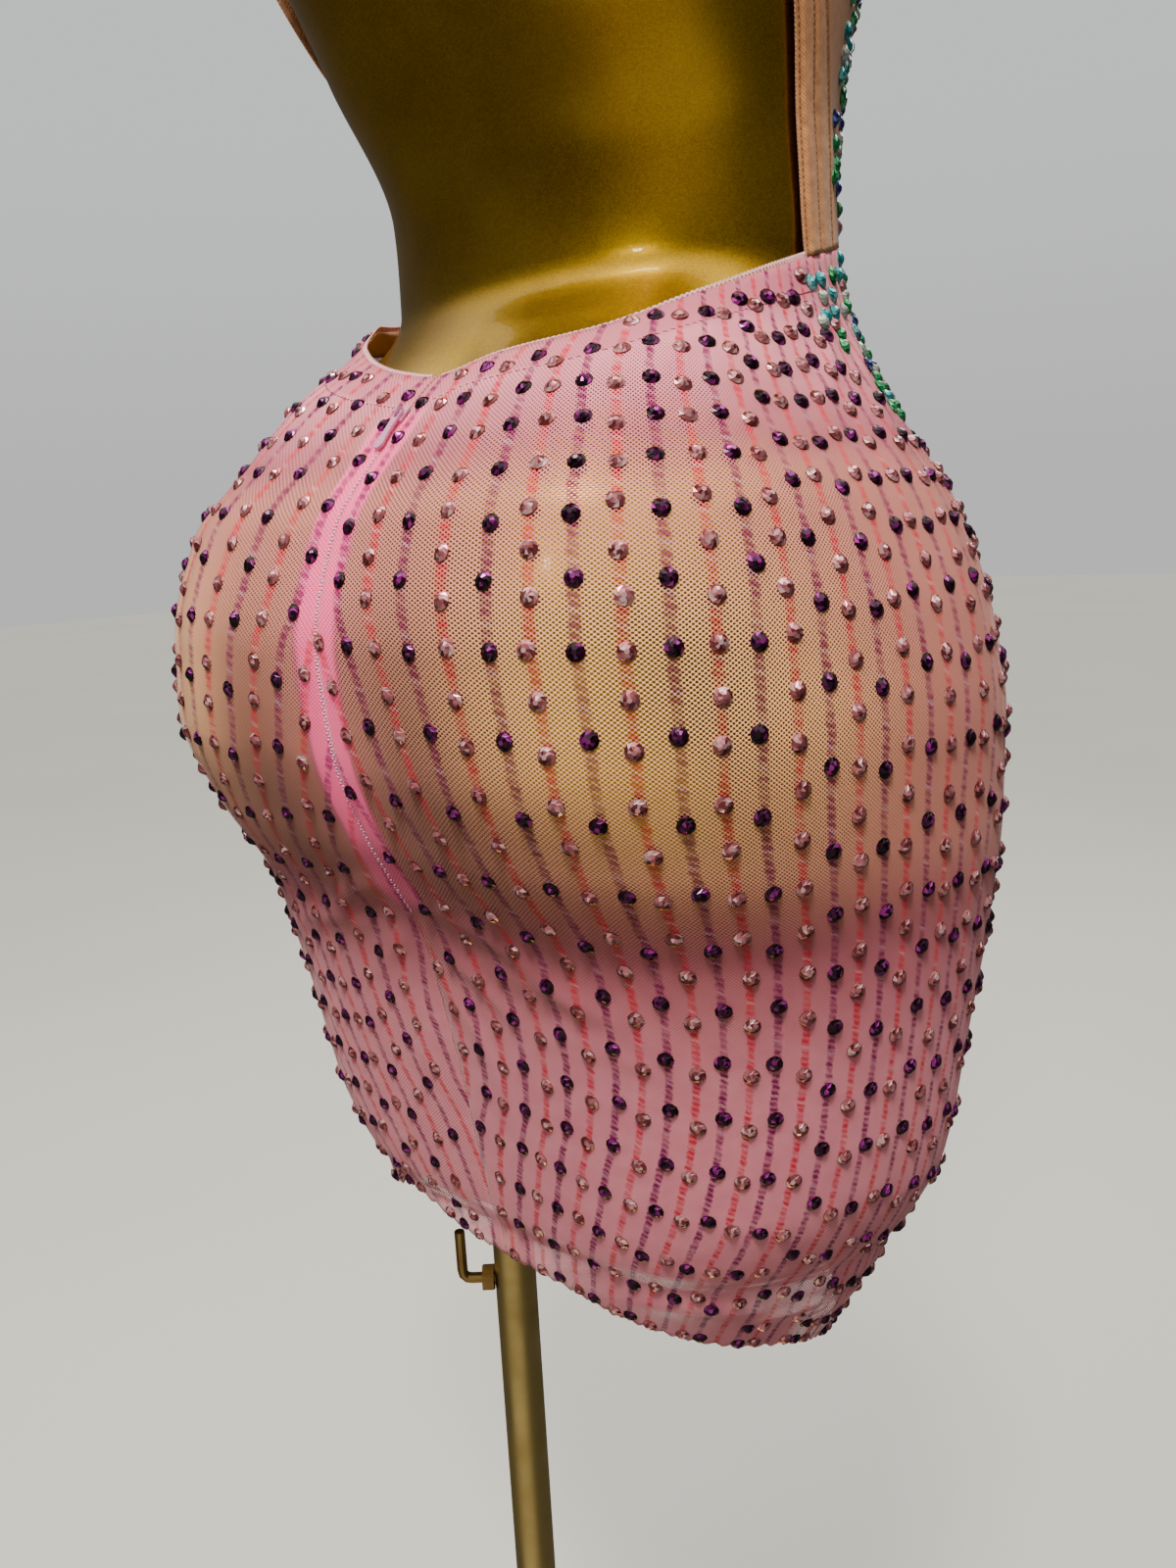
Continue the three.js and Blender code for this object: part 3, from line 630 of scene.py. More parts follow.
@dataclass(frozen=True)
class PrintedNet(Surface):
    """Nylon and elastane power mesh, printed: matt, soft, and open enough to show what is under it."""

    name: str = "printed_power_mesh"
    # Real holes are about 0.9 mm apart in the slack cloth; drawn at 1.25 so that they show
    hole_mm: float = 1.25
    stripe_half_mm: float = 1.25
    wobble_mm: float = 1.5
    dab_mm: float = 2.5
    dab_wobble_mm: float = 1.6

    def shader(self, add: AddNode) -> bpy.types.NodeSocket:
        """Net with stripes of slanted dabs, tinted by its stretch and by what lies under it, with painted
        shade and a painted lacquer glow over the hips, painted shade beside the seam and a painted glow
        over the zip.
        """
        uv = add("ShaderNodeUVMap", settings={"uv_map": CLOTH_UV})
        across = add("ShaderNodeSeparateXYZ", {0: uv}, output="X")
        along = add("ShaderNodeSeparateXYZ", {0: uv}, output="Y")
        stretch = add(ATTRIBUTE, settings={"attribute_name": "open"}, output="Fac")
        zip_share = add(ATTRIBUTE, settings={"attribute_name": "zip"}, output="Fac")
        band = add(ATTRIBUTE, settings={"attribute_name": "band"}, output="Fac")
        bridge = add(ATTRIBUTE, settings={"attribute_name": "bridge"}, output="Fac")

        wobble = add(NOISE, {"Vector": uv, "Scale": 0.45, "Detail": 2.0}, FLAT)
        shift = add(MATH, {0: wobble, 1: 0.5}, MINUS)
        moved = add(MATH, {0: shift, 1: self.wobble_mm, 2: across}, TIMES_PLUS)
        turns = add(MATH, {0: moved, 1: 1 / Print.PITCH}, TIMES)
        from_purple = add(MATH, {0: turns, 1: 0.5}, {"operation": "PINGPONG"})
        purple_mm = add(MATH, {0: from_purple, 1: Print.PITCH}, TIMES)
        coral_mm = add(MATH, {0: Print.PITCH / 2, 1: purple_mm}, MINUS)

        # Slanted dabs, as in a twisted rope, with fainter and whitish ones now and then
        slope = add(MATH, {0: across, 1: 0.5, 2: along}, TIMES_PLUS)
        slope = add(MATH, {0: shift, 1: self.dab_wobble_mm, 2: slope}, TIMES_PLUS)
        phase = add(MATH, {0: slope, 1: FULL_TURN / self.dab_mm}, TIMES)
        wave = add(MATH, {0: phase}, SINE)
        dab = add(RANGE, {0: wave, 1: -0.9, 2: 0.3, 3: 0.52, 4: 1.0}, EASED)
        row = add(MATH, {0: along, 1: 0.11}, TIMES)
        patches = add("ShaderNodeCombineXYZ", {0: turns, 1: row})
        strength = add(NOISE, {"Vector": patches, "Scale": 2.1, "Detail": 1.0}, FLAT)
        strength = add(RANGE, {0: strength, 1: 0.34, 2: 0.58, 3: 0.6, 4: 1.0})
        faded = add(RANGE, {0: stretch, 1: 0.3, 2: 1.0, 3: 1.0, 4: 0.8})
        for share in (strength, faded):
            dab = add(MATH, {0: dab, 1: share}, TIMES)
        white_phase = add(MATH, {0: phase, 1: 0.21}, TIMES)
        white_wave = add(MATH, {0: white_phase}, SINE)
        white = add(RANGE, {0: white_wave, 1: 0.93, 2: 0.99, 3: 0.0, 4: 0.45})

        mottle = add(NOISE, {"Vector": uv, "Scale": 0.09, "Detail": 3.0}, FLAT)
        cloth = add(MIX, {0: mottle, 6: linear("#e8889f"), 7: linear("#faa3b8")}, COLOUR_MIX, COLOUR)
        # Taut yarns are thin enough to take on the colour of the form under them; over the stretched hips
        # the darker pink is partly that and partly painted shade
        stretched_and_shade = add(RANGE, {0: stretch, 1: 0.3, 2: 0.6, 3: 0.0, 4: 0.85})
        # Where the net is thinnest its pale peach is a painted glow of the lit lacquer under it
        thin = add(RANGE, {0: stretch, 1: 0.56, 2: 0.94, 3: 0.0, 4: 1.0}, EASED)
        # Painted shade darkens the net where it spans the hollow beside the seam
        hollow_shade_share = add(MATH, {0: bridge, 1: 0.6}, TIMES)
        tints = (
            (stretched_and_shade, "#b45e6e"),
            (thin, "#ffc48e"),
            (hollow_shade_share, "#7c4c4a"),
            (band, "#dd7f96"),
            (zip_share, "#ff6aa2"),
        )
        for share, tint in tints:
            cloth = add(MIX, {0: share, 6: cloth, 7: linear(tint)}, COLOUR_MIX, COLOUR)
        # The fluorescent dye of the tapes is painted as a glow that shines through the cloth over them,
        # whatever light falls there
        glow = add(MATH, {0: zip_share, 1: 0.22}, TIMES)
        inks = ((purple_mm, "#86045a", "#f0c4dc"), (coral_mm, "#e22c4a", "#f8cfd6"))
        edge = {1: self.stripe_half_mm * 1.35, 2: self.stripe_half_mm * 0.55}
        for distance, dye, pale in inks:
            stripe = add(RANGE, {0: distance, **edge}, EASED)
            share = add(MATH, {0: stripe, 1: dab}, TIMES)
            ink = add(MIX, {0: white, 6: linear(dye), 7: linear(pale)}, COLOUR_MIX, COLOUR)
            cloth = add(MIX, {0: share, 6: cloth, 7: ink}, COLOUR_MIX, COLOUR)

        waves = []
        for place in (across, along):
            turn = add(MATH, {0: place, 1: FULL_TURN / self.hole_mm}, TIMES)
            waves.append(add(MATH, {0: turn}, {"operation": "COSINE"}))
        net = add(MATH, {0: waves[0], 1: waves[1]}, TIMES)
        limit = add(RANGE, {0: stretch, 1: 0.2, 2: 1.0, 3: 0.46, 4: -0.08})
        over = add(MATH, {0: net, 1: limit}, MINUS)
        alpha = add(RANGE, {0: over, 1: -0.1, 2: 0.15, 3: 1.0, 4: 0.0})
        yarn = add(MATH, {0: 0.0, 1: net}, MINUS)
        relief = add(BUMP, {"Strength": 0.35, "Distance": 0.00012, "Height": yarn})
        return add(
            PRINCIPLED,
            {
                "Base Color": cloth,
                "Roughness": 0.72,
                "Sheen Weight": 0.25,
                "Sheen Roughness": 0.4,
                "Specular IOR Level": 0.3,
                "Alpha": alpha,
                "Normal": relief,
                "Emission Color": linear("#ff5c99"),
                "Emission Strength": glow,
            },
        )


@dataclass(frozen=True)
class Knit(Surface):
    """Plain nylon knit or woven tape: matt with fine slanted ribs."""

    name: str
    # The shade colour paints the ribs' troughs and the darker mottles; the colour, their crests and the
    # lighter mottles
    colour: str
    shade: str
    rib_mm: float = 0.9
    slant: float = 1.0
    roughness: float = 0.8

    def shader(self, add: AddNode) -> bpy.types.NodeSocket:
        """Ribs on the flat cloth's coordinates, with painted shade in their troughs, a little mottled."""
        uv = add("ShaderNodeUVMap", settings={"uv_map": CLOTH_UV})
        across = add("ShaderNodeSeparateXYZ", {0: uv}, output="X")
        along = add("ShaderNodeSeparateXYZ", {0: uv}, output="Y")
        slope = add(MATH, {0: across, 1: self.slant, 2: along}, TIMES_PLUS)
        phase = add(MATH, {0: slope, 1: FULL_TURN / self.rib_mm}, TIMES)
        rib = add(MATH, {0: phase}, SINE)
        mottle = add(NOISE, {"Vector": uv, "Scale": 0.25, "Detail": 4.0}, FLAT)
        # The colour follows the rib wave of the bump: painted shade in the ribs' troughs and painted light
        # on their crests, over the cloth's own mottled tone
        level = add(MATH, {0: rib, 1: 0.22, 2: mottle}, TIMES_PLUS)
        share = add(RANGE, {0: level, 1: 0.15, 2: 0.85})
        colour = add(MIX, {0: share, 6: linear(self.shade), 7: linear(self.colour)}, COLOUR_MIX, COLOUR)
        relief = add(BUMP, {"Strength": 0.4, "Distance": 0.0001, "Height": rib})
        return add(
            PRINCIPLED,
            {
                "Base Color": colour,
                "Roughness": self.roughness,
                "Sheen Weight": 0.2,
                "Specular IOR Level": 0.3,
                "Normal": relief,
            },
        )


@dataclass(frozen=True)
class FlakeLacquer(Surface):
    """Sprayed metal-flake paint under clear lacquer: a soft gold glow with a sharp gloss on top."""

    name: str = "gold_flake_lacquer"
    dark: str = "#946800"
    light: str = "#d2ac1e"
    # Real flakes are under 0.1 mm; drawn at 0.45 so that their sparkle shows
    flake_mm: float = 0.45

    def shader(self, add: AddNode) -> bpy.types.NodeSocket:
        """Flakes of uneven tilt and brightness in clouds, under a thin clear coat."""
        place = add("ShaderNodeTexCoord", output="Object")
        scale = 1 / (self.flake_mm * MM)
        flakes = add("ShaderNodeTexVoronoi", {"Vector": place, "Scale": scale}, output="Color")
        flake = add("ShaderNodeSeparateColor", {0: flakes})
        cloud = add(NOISE, {"Vector": place, "Scale": 22.0, "Detail": 3.0})
        level = add(MATH, {0: flake, 1: 0.5, 2: cloud}, TIMES_PLUS)
        share = add(RANGE, {0: level, 1: 0.2, 2: 1.3})
        colour = add(MIX, {0: share, 6: linear(self.dark), 7: linear(self.light)}, COLOUR_MIX, COLOUR)
        rough = add(RANGE, {0: flake, 3: 0.28, 4: 0.34})
        relief = add(BUMP, {"Strength": 0.12, "Distance": 0.0001, "Height": flake})
        return add(
            PRINCIPLED,
            {
                "Base Color": colour,
                "Metallic": 1.0,
                "Roughness": rough,
                "Normal": relief,
                "Coat Weight": 0.3,
                "Coat Roughness": 0.05,
            },
        )


@dataclass(frozen=True)
class Brass(Surface):
    """Drawn or cast brass: warm metal with faint lines, dulled unevenly by handling."""

    name: str
    bright: str
    dull: str
    roughness: float = 0.3
    # Real drawing lines are finer than 0.1 mm; drawn at 0.4 so that they show
    line_mm: float = 0.4

    def shader(self, add: AddNode) -> bpy.types.NodeSocket:
        """Upright drawing lines, with duller and rougher patches of wear."""
        place = add("ShaderNodeTexCoord", output="Object")
        stretched = add("ShaderNodeMapping", {0: place, "Scale": (1.0, 1.0, 0.03)})
        lines = add(NOISE, {"Vector": stretched, "Scale": 1 / (self.line_mm * MM), "Detail": 1.0})
        wear = add(NOISE, {"Vector": place, "Scale": 35.0, "Detail": 5.0})
        share = add(RANGE, {0: wear, 1: 0.2, 2: 0.75})
        colour = add(MIX, {0: share, 6: linear(self.dull), 7: linear(self.bright)}, COLOUR_MIX, COLOUR)
        limits = {1: 0.35, 2: 0.7, 3: self.roughness * 1.35, 4: self.roughness * 0.75}
        rough = add(RANGE, {0: wear, **limits})
        relief = add(BUMP, {"Strength": 0.12, "Distance": 0.00005, "Height": lines})
        return add(
            PRINCIPLED,
            {"Base Color": colour, "Metallic": 1.0, "Roughness": rough, "Normal": relief},
        )


@dataclass(frozen=True)
class FoiledCrystal(Surface):
    """Machine-cut glass with a foiled flat back: the foil's reflections painted as dark and bright facets
    side by side, and sharp glints from the coat.
    """

    name: str
    # Colours of the facets' painted reflections, from the darkest to the brightest
    deep: str
    middle: str
    bright: str
    metallic: float = 0.7
    coat: float = 0.3

    def shader(self, add: AddNode) -> bpy.types.NodeSocket:
        """A painted reflection for each facet, drawn at random from deep through middle to bright."""
        flash = add(ATTRIBUTE, settings={"attribute_name": "flash"}, output="Fac")
        low = add(RANGE, {0: flash, 1: 0.15, 2: 0.6})
        high = add(RANGE, {0: flash, 1: 0.72, 2: 0.98})
        colour = add(MIX, {0: low, 6: linear(self.deep), 7: linear(self.middle)}, COLOUR_MIX, COLOUR)
        colour = add(MIX, {0: high, 6: colour, 7: linear(self.bright)}, COLOUR_MIX, COLOUR)
        return add(
            PRINCIPLED,
            {
                "Base Color": colour,
                "Metallic": self.metallic,
                "Roughness": 0.1,
                "Coat Weight": self.coat,
                "Coat Roughness": 0.02,
            },
        )


@dataclass(frozen=True)
class Polymer(Surface):
    """Dyed nylon filament or enamel on die-cast zinc: even colour with a soft gloss."""

    name: str
    colour: str
    shade: str
    roughness: float = 0.35
    metallic: float = 0.0

    def shader(self, add: AddNode) -> bpy.types.NodeSocket:
        """A fine grain between two close colours."""
        place = add("ShaderNodeTexCoord", output="Object")
        grain = add(NOISE, {"Vector": place, "Scale": 900.0, "Detail": 3.0})
        share = add(RANGE, {0: grain, 1: 0.35, 2: 0.65})
        colour = add(MIX, {0: share, 6: linear(self.shade), 7: linear(self.colour)}, COLOUR_MIX, COLOUR)
        relief = add(BUMP, {"Strength": 0.1, "Distance": 0.00005, "Height": grain})
        return add(
            PRINCIPLED,
            {
                "Base Color": colour,
                "Roughness": self.roughness,
                "Metallic": self.metallic,
                "Normal": relief,
            },
        )


class Finish(Enum):
    """Every finish on the part."""

    NET = PrintedNet()
    NUDE_MESH = Knit("nude_power_mesh", "#c08c68", "#a27252", rib_mm=1.0, slant=0.4)
    CASING = Knit("nude_boning_tape_twill", "#d29a68", "#9c6844", rib_mm=1.5, slant=1.3)
    ELASTIC = Knit("nude_picot_elastic", "#d3a183", "#b98468", rib_mm=0.8, slant=0.0)
    TAPE = Knit("hot_pink_zip_tape", "#ff4f97", "#f03c8a", rib_mm=0.9, slant=0.0)
    FORM = FlakeLacquer()
    STAND = Brass("drawn_brass_tube", "#dcc684", "#b8a262", 0.36)
    CLAMP = Brass("antique_brass", "#ab8e58", "#6b5532", 0.38)
    COIL = Polymer("lilac_nylon_coil", "#f3cfe6", "#e2a9cf", 0.4)
    THREAD = Polymer("rose_polyester_thread", "#a54a66", "#8c3a54", 0.6)
    NUDE_THREAD = Polymer("nude_polyester_thread", "#8f6242", "#764c30", 0.6)
    PICOT = Polymer("pale_pink_picot_yarn", "#efbcc0", "#d39aa0", 0.65)
    PULL = Polymer("lilac_enamelled_zinc", "#e2a4cc", "#cc86b4", 0.25, 0.2)
    # Crystals: deep, middle and bright colours of their facets' painted reflections
    AMETHYST = FoiledCrystal("amethyst_crystal", "#12000c", "#3a0634", "#b82cae")
    ROSE = FoiledCrystal("rose_crystal", "#74343a", "#c87a86", "#ffd2da")
    GREEN = FoiledCrystal("emerald_crystal", "#046030", "#12a45c", "#8af2ba")
    AQUA = FoiledCrystal("aqua_crystal", "#14808c", "#3cbcc4", "#c8f6ff")
    BLUE = FoiledCrystal("dark_blue_crystal", "#0c0d42", "#2a2f93", "#93a5ff")
    CLEAR = FoiledCrystal("clear_crystal", "#8f9a98", "#cdd6d3", "#ffffff")

    @property
    def material(self) -> bpy.types.Material:
        """The finish's Blender material, made once."""
        found = bpy.data.materials.get(self.value.name)
        return found or self.value.make()


def finished(name: str, mesh: bpy.types.Mesh, finish: Finish) -> bpy.types.Object:
    """Makes a mesh into a piece of the part that moves with the dressed form.

    Args:
        name: The piece's name.
        mesh: Its mesh, in the part's frame, in metres.
        finish: What it is made of.

    Returns:
        The new object.
    """
    piece = bpy.data.objects.new(name, mesh)
    bpy.context.scene.collection.objects.link(piece)
    mesh.materials.append(finish.material)
    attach(piece, DRESSED)
    LOG.info("%s: %d faces", name, len(mesh.polygons))
    return piece


def mesh_of(name: str, shape: bmesh.types.BMesh) -> bpy.types.Mesh:
    """Turns a bmesh in millimetres to a smooth mesh in metres and frees it."""
    bmesh.ops.scale(shape, vec=(MM, MM, MM), verts=shape.verts)
    mesh = bpy.data.meshes.new(name)
    shape.to_mesh(mesh)
    shape.free()
    mesh.polygons.foreach_set("use_smooth", [True] * len(mesh.polygons))
    return mesh


def unit_grid(name: str, columns: int, rows: int) -> tuple[bpy.types.Mesh, Array]:
    """A flat grid's mesh, and the share across and along it of each vertex."""
    grid = bmesh.new()
    bmesh.ops.create_grid(grid, x_segments=columns, y_segments=rows, size=0.5)
    mesh = mesh_of(name, grid)
    flat = np.empty(len(mesh.vertices) * 3)
    mesh.vertices.foreach_get("co", flat)
    return mesh, flat.reshape(-1, 3)[:, :2] / MM + 0.5


def lay(mesh: bpy.types.Mesh, points: Array, flat: Array) -> None:
    """Moves a grid's vertices to points in millimetres and keeps their flat cloth coordinates."""
    mesh.vertices.foreach_set("co", (points * MM).ravel())
    corner = np.empty(len(mesh.loops), np.int32)
    mesh.loops.foreach_get("vertex_index", corner)
    layer = mesh.uv_layers.new(name=CLOTH_UV)
    layer.uv.foreach_set("vector", flat[corner].astype(np.float32).ravel())
    mesh.update()


def thicken(piece: bpy.types.Object, thickness: float, even: bool = True) -> None:
    """Gives a sheet its wall, inwards from its outer face."""
    wall = piece.modifiers.new("wall", "SOLIDIFY")
    wall.thickness = thickness * MM
    wall.offset = -1
    wall.use_quality_normals = even


@dataclass
class Sheet:
    """A sheet of cloth, mapped from a flat grid onto the body.

    The place function turns shares across and along the cut to angles and levels.
    """

    name: str
    place: Map
    surface: Place
    columns: int
    rows: int
    thickness: float = 0.5
    attributes: dict[str, Place] = field(default_factory=dict)
    uv: Place | None = None

    def make(self, finish: Finish, slot: str, node: str) -> bpy.types.Object:
        """Builds the sheet as a piece that replaces its solid."""
        mesh, share = unit_grid(self.name, self.columns, self.rows)
        angle, level = self.place(share[:, 0], share[:, 1])
        points = self.surface(angle, level)
        for name, function in self.attributes.items():
            values = mesh.attributes.new(name, "FLOAT", "POINT")
            values.data.foreach_set("value", function(angle, level).astype(np.float32))
        lay(mesh, points, self.uv(angle, level) if self.uv else self.grid_uv(points, share))
        piece = finished(self.name, mesh, finish)
        thicken(piece, self.thickness)
        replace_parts(piece, node)
        return piece

    def grid_uv(self, points: Array, share: Array) -> Array:
        """Flat coordinates from the grid's own mean width and height."""
        net = points.reshape(self.rows + 1, self.columns + 1, 3)
        width = np.linalg.norm(np.diff(net, axis=1), axis=-1).sum(axis=1).mean()
        height = np.linalg.norm(np.diff(net, axis=0), axis=-1).sum(axis=0).mean()
        return share * np.array([width, height])


@dataclass
class Frames:
    """Places for many copies of one small shape: points and three unit axes."""

    points: Array
    across: Array
    along: Array
    normal: Array

    @classmethod
    def on(cls, surface: Place, angle: Array, level: Array) -> "Frames":
        """Frames on a surface, across and up it.

        Args:
            surface: Gives a point for each angle and level.
            angle: Angles round the body.
            level: Levels on the body.

        Returns:
            One frame for each place.
        """
        step = 0.4
        around = surface(angle + step, level) - surface(angle - step, level)
        rise = surface(angle, level + step) - surface(angle, level - step)
        normal = unit(np.cross(around, rise))
        across = unit(around)
        return cls(surface(angle, level), across, np.cross(normal, across), normal)

    def turned(self, degrees: Array) -> "Frames":
        """The frames turned about their normals."""
        turn = np.radians(np.broadcast_to(degrees, len(self.points)))[:, None]
        across = self.across * np.cos(turn) + self.along * np.sin(turn)
        return Frames(self.points, across, np.cross(self.normal, across), self.normal)

    def tilted(self, lean: Array) -> "Frames":
        """The frames with each normal leaning by a small vector across and along the cloth."""
        normal = unit(self.normal + self.across * lean[:, :1] + self.along * lean[:, 1:])
        across = unit(self.across - normal * np.sum(self.across * normal, axis=-1, keepdims=True))
        return Frames(self.points, across, np.cross(normal, across), normal)


def copies(
    name: str,
    shape: bmesh.types.BMesh,
    frames: Frames,
    random: np.random.Generator | None = None,
) -> bpy.types.Mesh:
    """Joined copies of one small shape, one for each frame.

    Args:
        name: The mesh's name.
        shape: The shape, in millimetres, on its own origin. It is freed.
        frames: Where the copies go.
        random: For cut stones, whose facets are flat: draws each facet's painted reflection.

    Returns:
        One mesh in metres.
    """
    local = np.array([v.co for v in shape.verts])
    faces = [[v.index for v in face.verts] for face in shape.faces]
    shape.free()
    corners = np.concatenate([np.array(face) for face in faces])
    starts = np.cumsum([0] + [len(face) for face in faces[:-1]])
    count = len(frames.points)
    placed = frames.points[:, None, :]
    for axis, vectors in enumerate((frames.across, frames.along, frames.normal)):
        placed = placed + vectors[:, None, :] * local[None, :, axis, None]
    order = np.arange(count)[:, None]
    total = count * len(faces)
    corner = order * len(local) + corners[None, :]
    start = order * len(corners) + starts[None, :]
    mesh = bpy.data.meshes.new(name)
    mesh.vertices.add(count * len(local))
    mesh.vertices.foreach_set("co", (placed * MM).ravel())
    mesh.loops.add(count * len(corners))
    mesh.loops.foreach_set("vertex_index", corner.ravel().astype(np.int32))
    mesh.polygons.add(total)
    mesh.polygons.foreach_set("loop_start", start.ravel().astype(np.int32))
    mesh.polygons.foreach_set("use_smooth", [random is None] * total)
    mesh.update(calc_edges=True)
    if random is not None:
        flash = mesh.attributes.new("flash", "FLOAT", "FACE")
        flash.data.foreach_set("value", random.random(total).astype(np.float32))
    return mesh


def crystal_shape(diameter: float = 6.6, sides: int = 10) -> bmesh.types.BMesh:
    """A flat-back crystal: a thin girdle, two rings of facets and a small table."""
    radius = diameter / 2
    shape = bmesh.new()
    bmesh.ops.create_circle(shape, cap_ends=True, segments=sides, radius=radius)
    for face in shape.faces:
        face.normal_flip()
    rim = list(shape.edges)
    turn = math.pi / sides
    for height, width, twist in ((0.45, 1.0, 0.0), (1.35, 0.66, turn), (2.15, 0.26, 0.0)):
        made = bmesh.ops.extrude_edge_only(shape, edges=rim)["geom"]
        verts = [item for item in made if isinstance(item, bmesh.types.BMVert)]
        rim = [item for item in made if isinstance(item, bmesh.types.BMEdge)]
        rim = [edge for edge in rim if edge.verts[0] in verts and edge.verts[1] in verts]
        for vert in verts:
            bearing = math.atan2(vert.co.y, vert.co.x) + twist
            reach = radius * width
            vert.co = Vector((reach * math.cos(bearing), reach * math.sin(bearing), height))
    bmesh.ops.edgeloop_fill(shape, edges=rim)
    bmesh.ops.recalc_face_normals(shape, faces=shape.faces)
    shape.verts.index_update()
    return shape


def pill_shape(length: float, width: float, height: float) -> bmesh.types.BMesh:
    """A short rounded dash, such as a stitch or a coil's loop, lying along the second axis."""
    shape = bmesh.new()
    bmesh.ops.create_uvsphere(shape, u_segments=6, v_segments=4, radius=0.5)
    bmesh.ops.rotate(shape, matrix=Matrix.Rotation(math.pi / 2, 3, "X"), verts=shape.verts)
    bmesh.ops.scale(shape, vec=(width, length, height), verts=shape.verts)
    shape.verts.index_update()
    return shape


def loop_shape(width: float, height: float, yarn: float) -> bmesh.types.BMesh:
    """A small picot loop: half a ring of yarn that stands up along the second axis."""
    shape = bmesh.new()
    bmesh.ops.create_circle(shape, cap_ends=True, segments=5, radius=yarn / 2)
    bmesh.ops.rotate(shape, matrix=Matrix.Rotation(math.pi / 2, 3, "X"), verts=shape.verts)
    bmesh.ops.translate(shape, vec=(width / 2, 0, 0), verts=shape.verts)
    geometry = list(shape.verts) + list(shape.edges) + list(shape.faces)
    bmesh.ops.spin(shape, geom=geometry, axis=(0, 0, 1), angle=math.pi, steps=6)
    bmesh.ops.scale(shape, vec=(1, 2 * height / width, 1), verts=shape.verts)
    bmesh.ops.recalc_face_normals(shape, faces=shape.faces)
    shape.verts.index_update()
    return shape


def turned_shape(outline: Outline, steps: int) -> bmesh.types.BMesh:
    """A round shape spun about an upright axis from radius and height pairs.

    Args:
        outline: Points of the outline; one on the axis closes that end.
        steps: How many faces go round.

    Returns:
        The closed shape, in millimetres.
    """
    shape = bmesh.new()
    verts = [shape.verts.new((radius, 0, height)) for radius, height in outline]
    edges = [shape.edges.new(pair) for pair in zip(verts, verts[1:])]
    if outline[0][0] > 0 and outline[-1][0] > 0:
        edges.append(shape.edges.new((verts[-1], verts[0])))
    bmesh.ops.spin(
        shape,
        geom=verts + edges,
        axis=(0, 0, 1),
        angle=FULL_TURN,
        steps=steps,
        use_merge=True,
    )
    bmesh.ops.remove_doubles(shape, verts=shape.verts, dist=1e-4)
    bmesh.ops.recalc_face_normals(shape, faces=shape.faces)
    return shape


@dataclass
class Camera:
    """A phone's wide camera close behind the part's right side, tipped down and rolled."""

    bearing: float = 221.22
    pitch: float = 12.49
    roll: float = -2.85
    distance: float = 564.56
    aside: float = 9.63
    above: float = 44.29
    lens: float = 27.0

    def make(self) -> None:
        """Places the camera and makes it the scene's own."""
        turn, tip, lean = (math.radians(x) for x in (self.bearing, self.pitch, self.roll))
        forward = Vector((-math.sin(turn) * math.cos(tip), math.cos(turn) * math.cos(tip), -math.sin(tip)))
        level_right = Vector((math.cos(turn), math.sin(turn), 0))
        level_up = level_right.cross(forward)
        right = math.cos(lean) * level_right + math.sin(lean) * level_up
        up = math.cos(lean) * level_up - math.sin(lean) * level_right
        target = Vector((Body.AXIS_X, Body.AXIS_Y, HIP_HEIGHT))
        place = target - forward * self.distance - right * self.aside - up * self.above
        data = bpy.data.cameras.new("camera")
        data.lens = self.lens
        data.clip_start = 0.01
        camera = bpy.data.objects.new("camera", data)
        axes = Matrix((right, up, -forward)).transposed().to_4x4()
        camera.matrix_world = Matrix.Translation(place * MM) @ axes
        bpy.context.scene.collection.objects.link(camera)
        bpy.context.scene.camera = camera


@dataclass(frozen=True)
class Lamp:
    """A soft square lamp, aimed at the hips, that may be kept out of the glossy lacquer's mirror."""

    name: str
    place: tuple[float, float, float]
    size: float
    power: float
    colour: str = "#ffffff"
    mirrored: bool = True


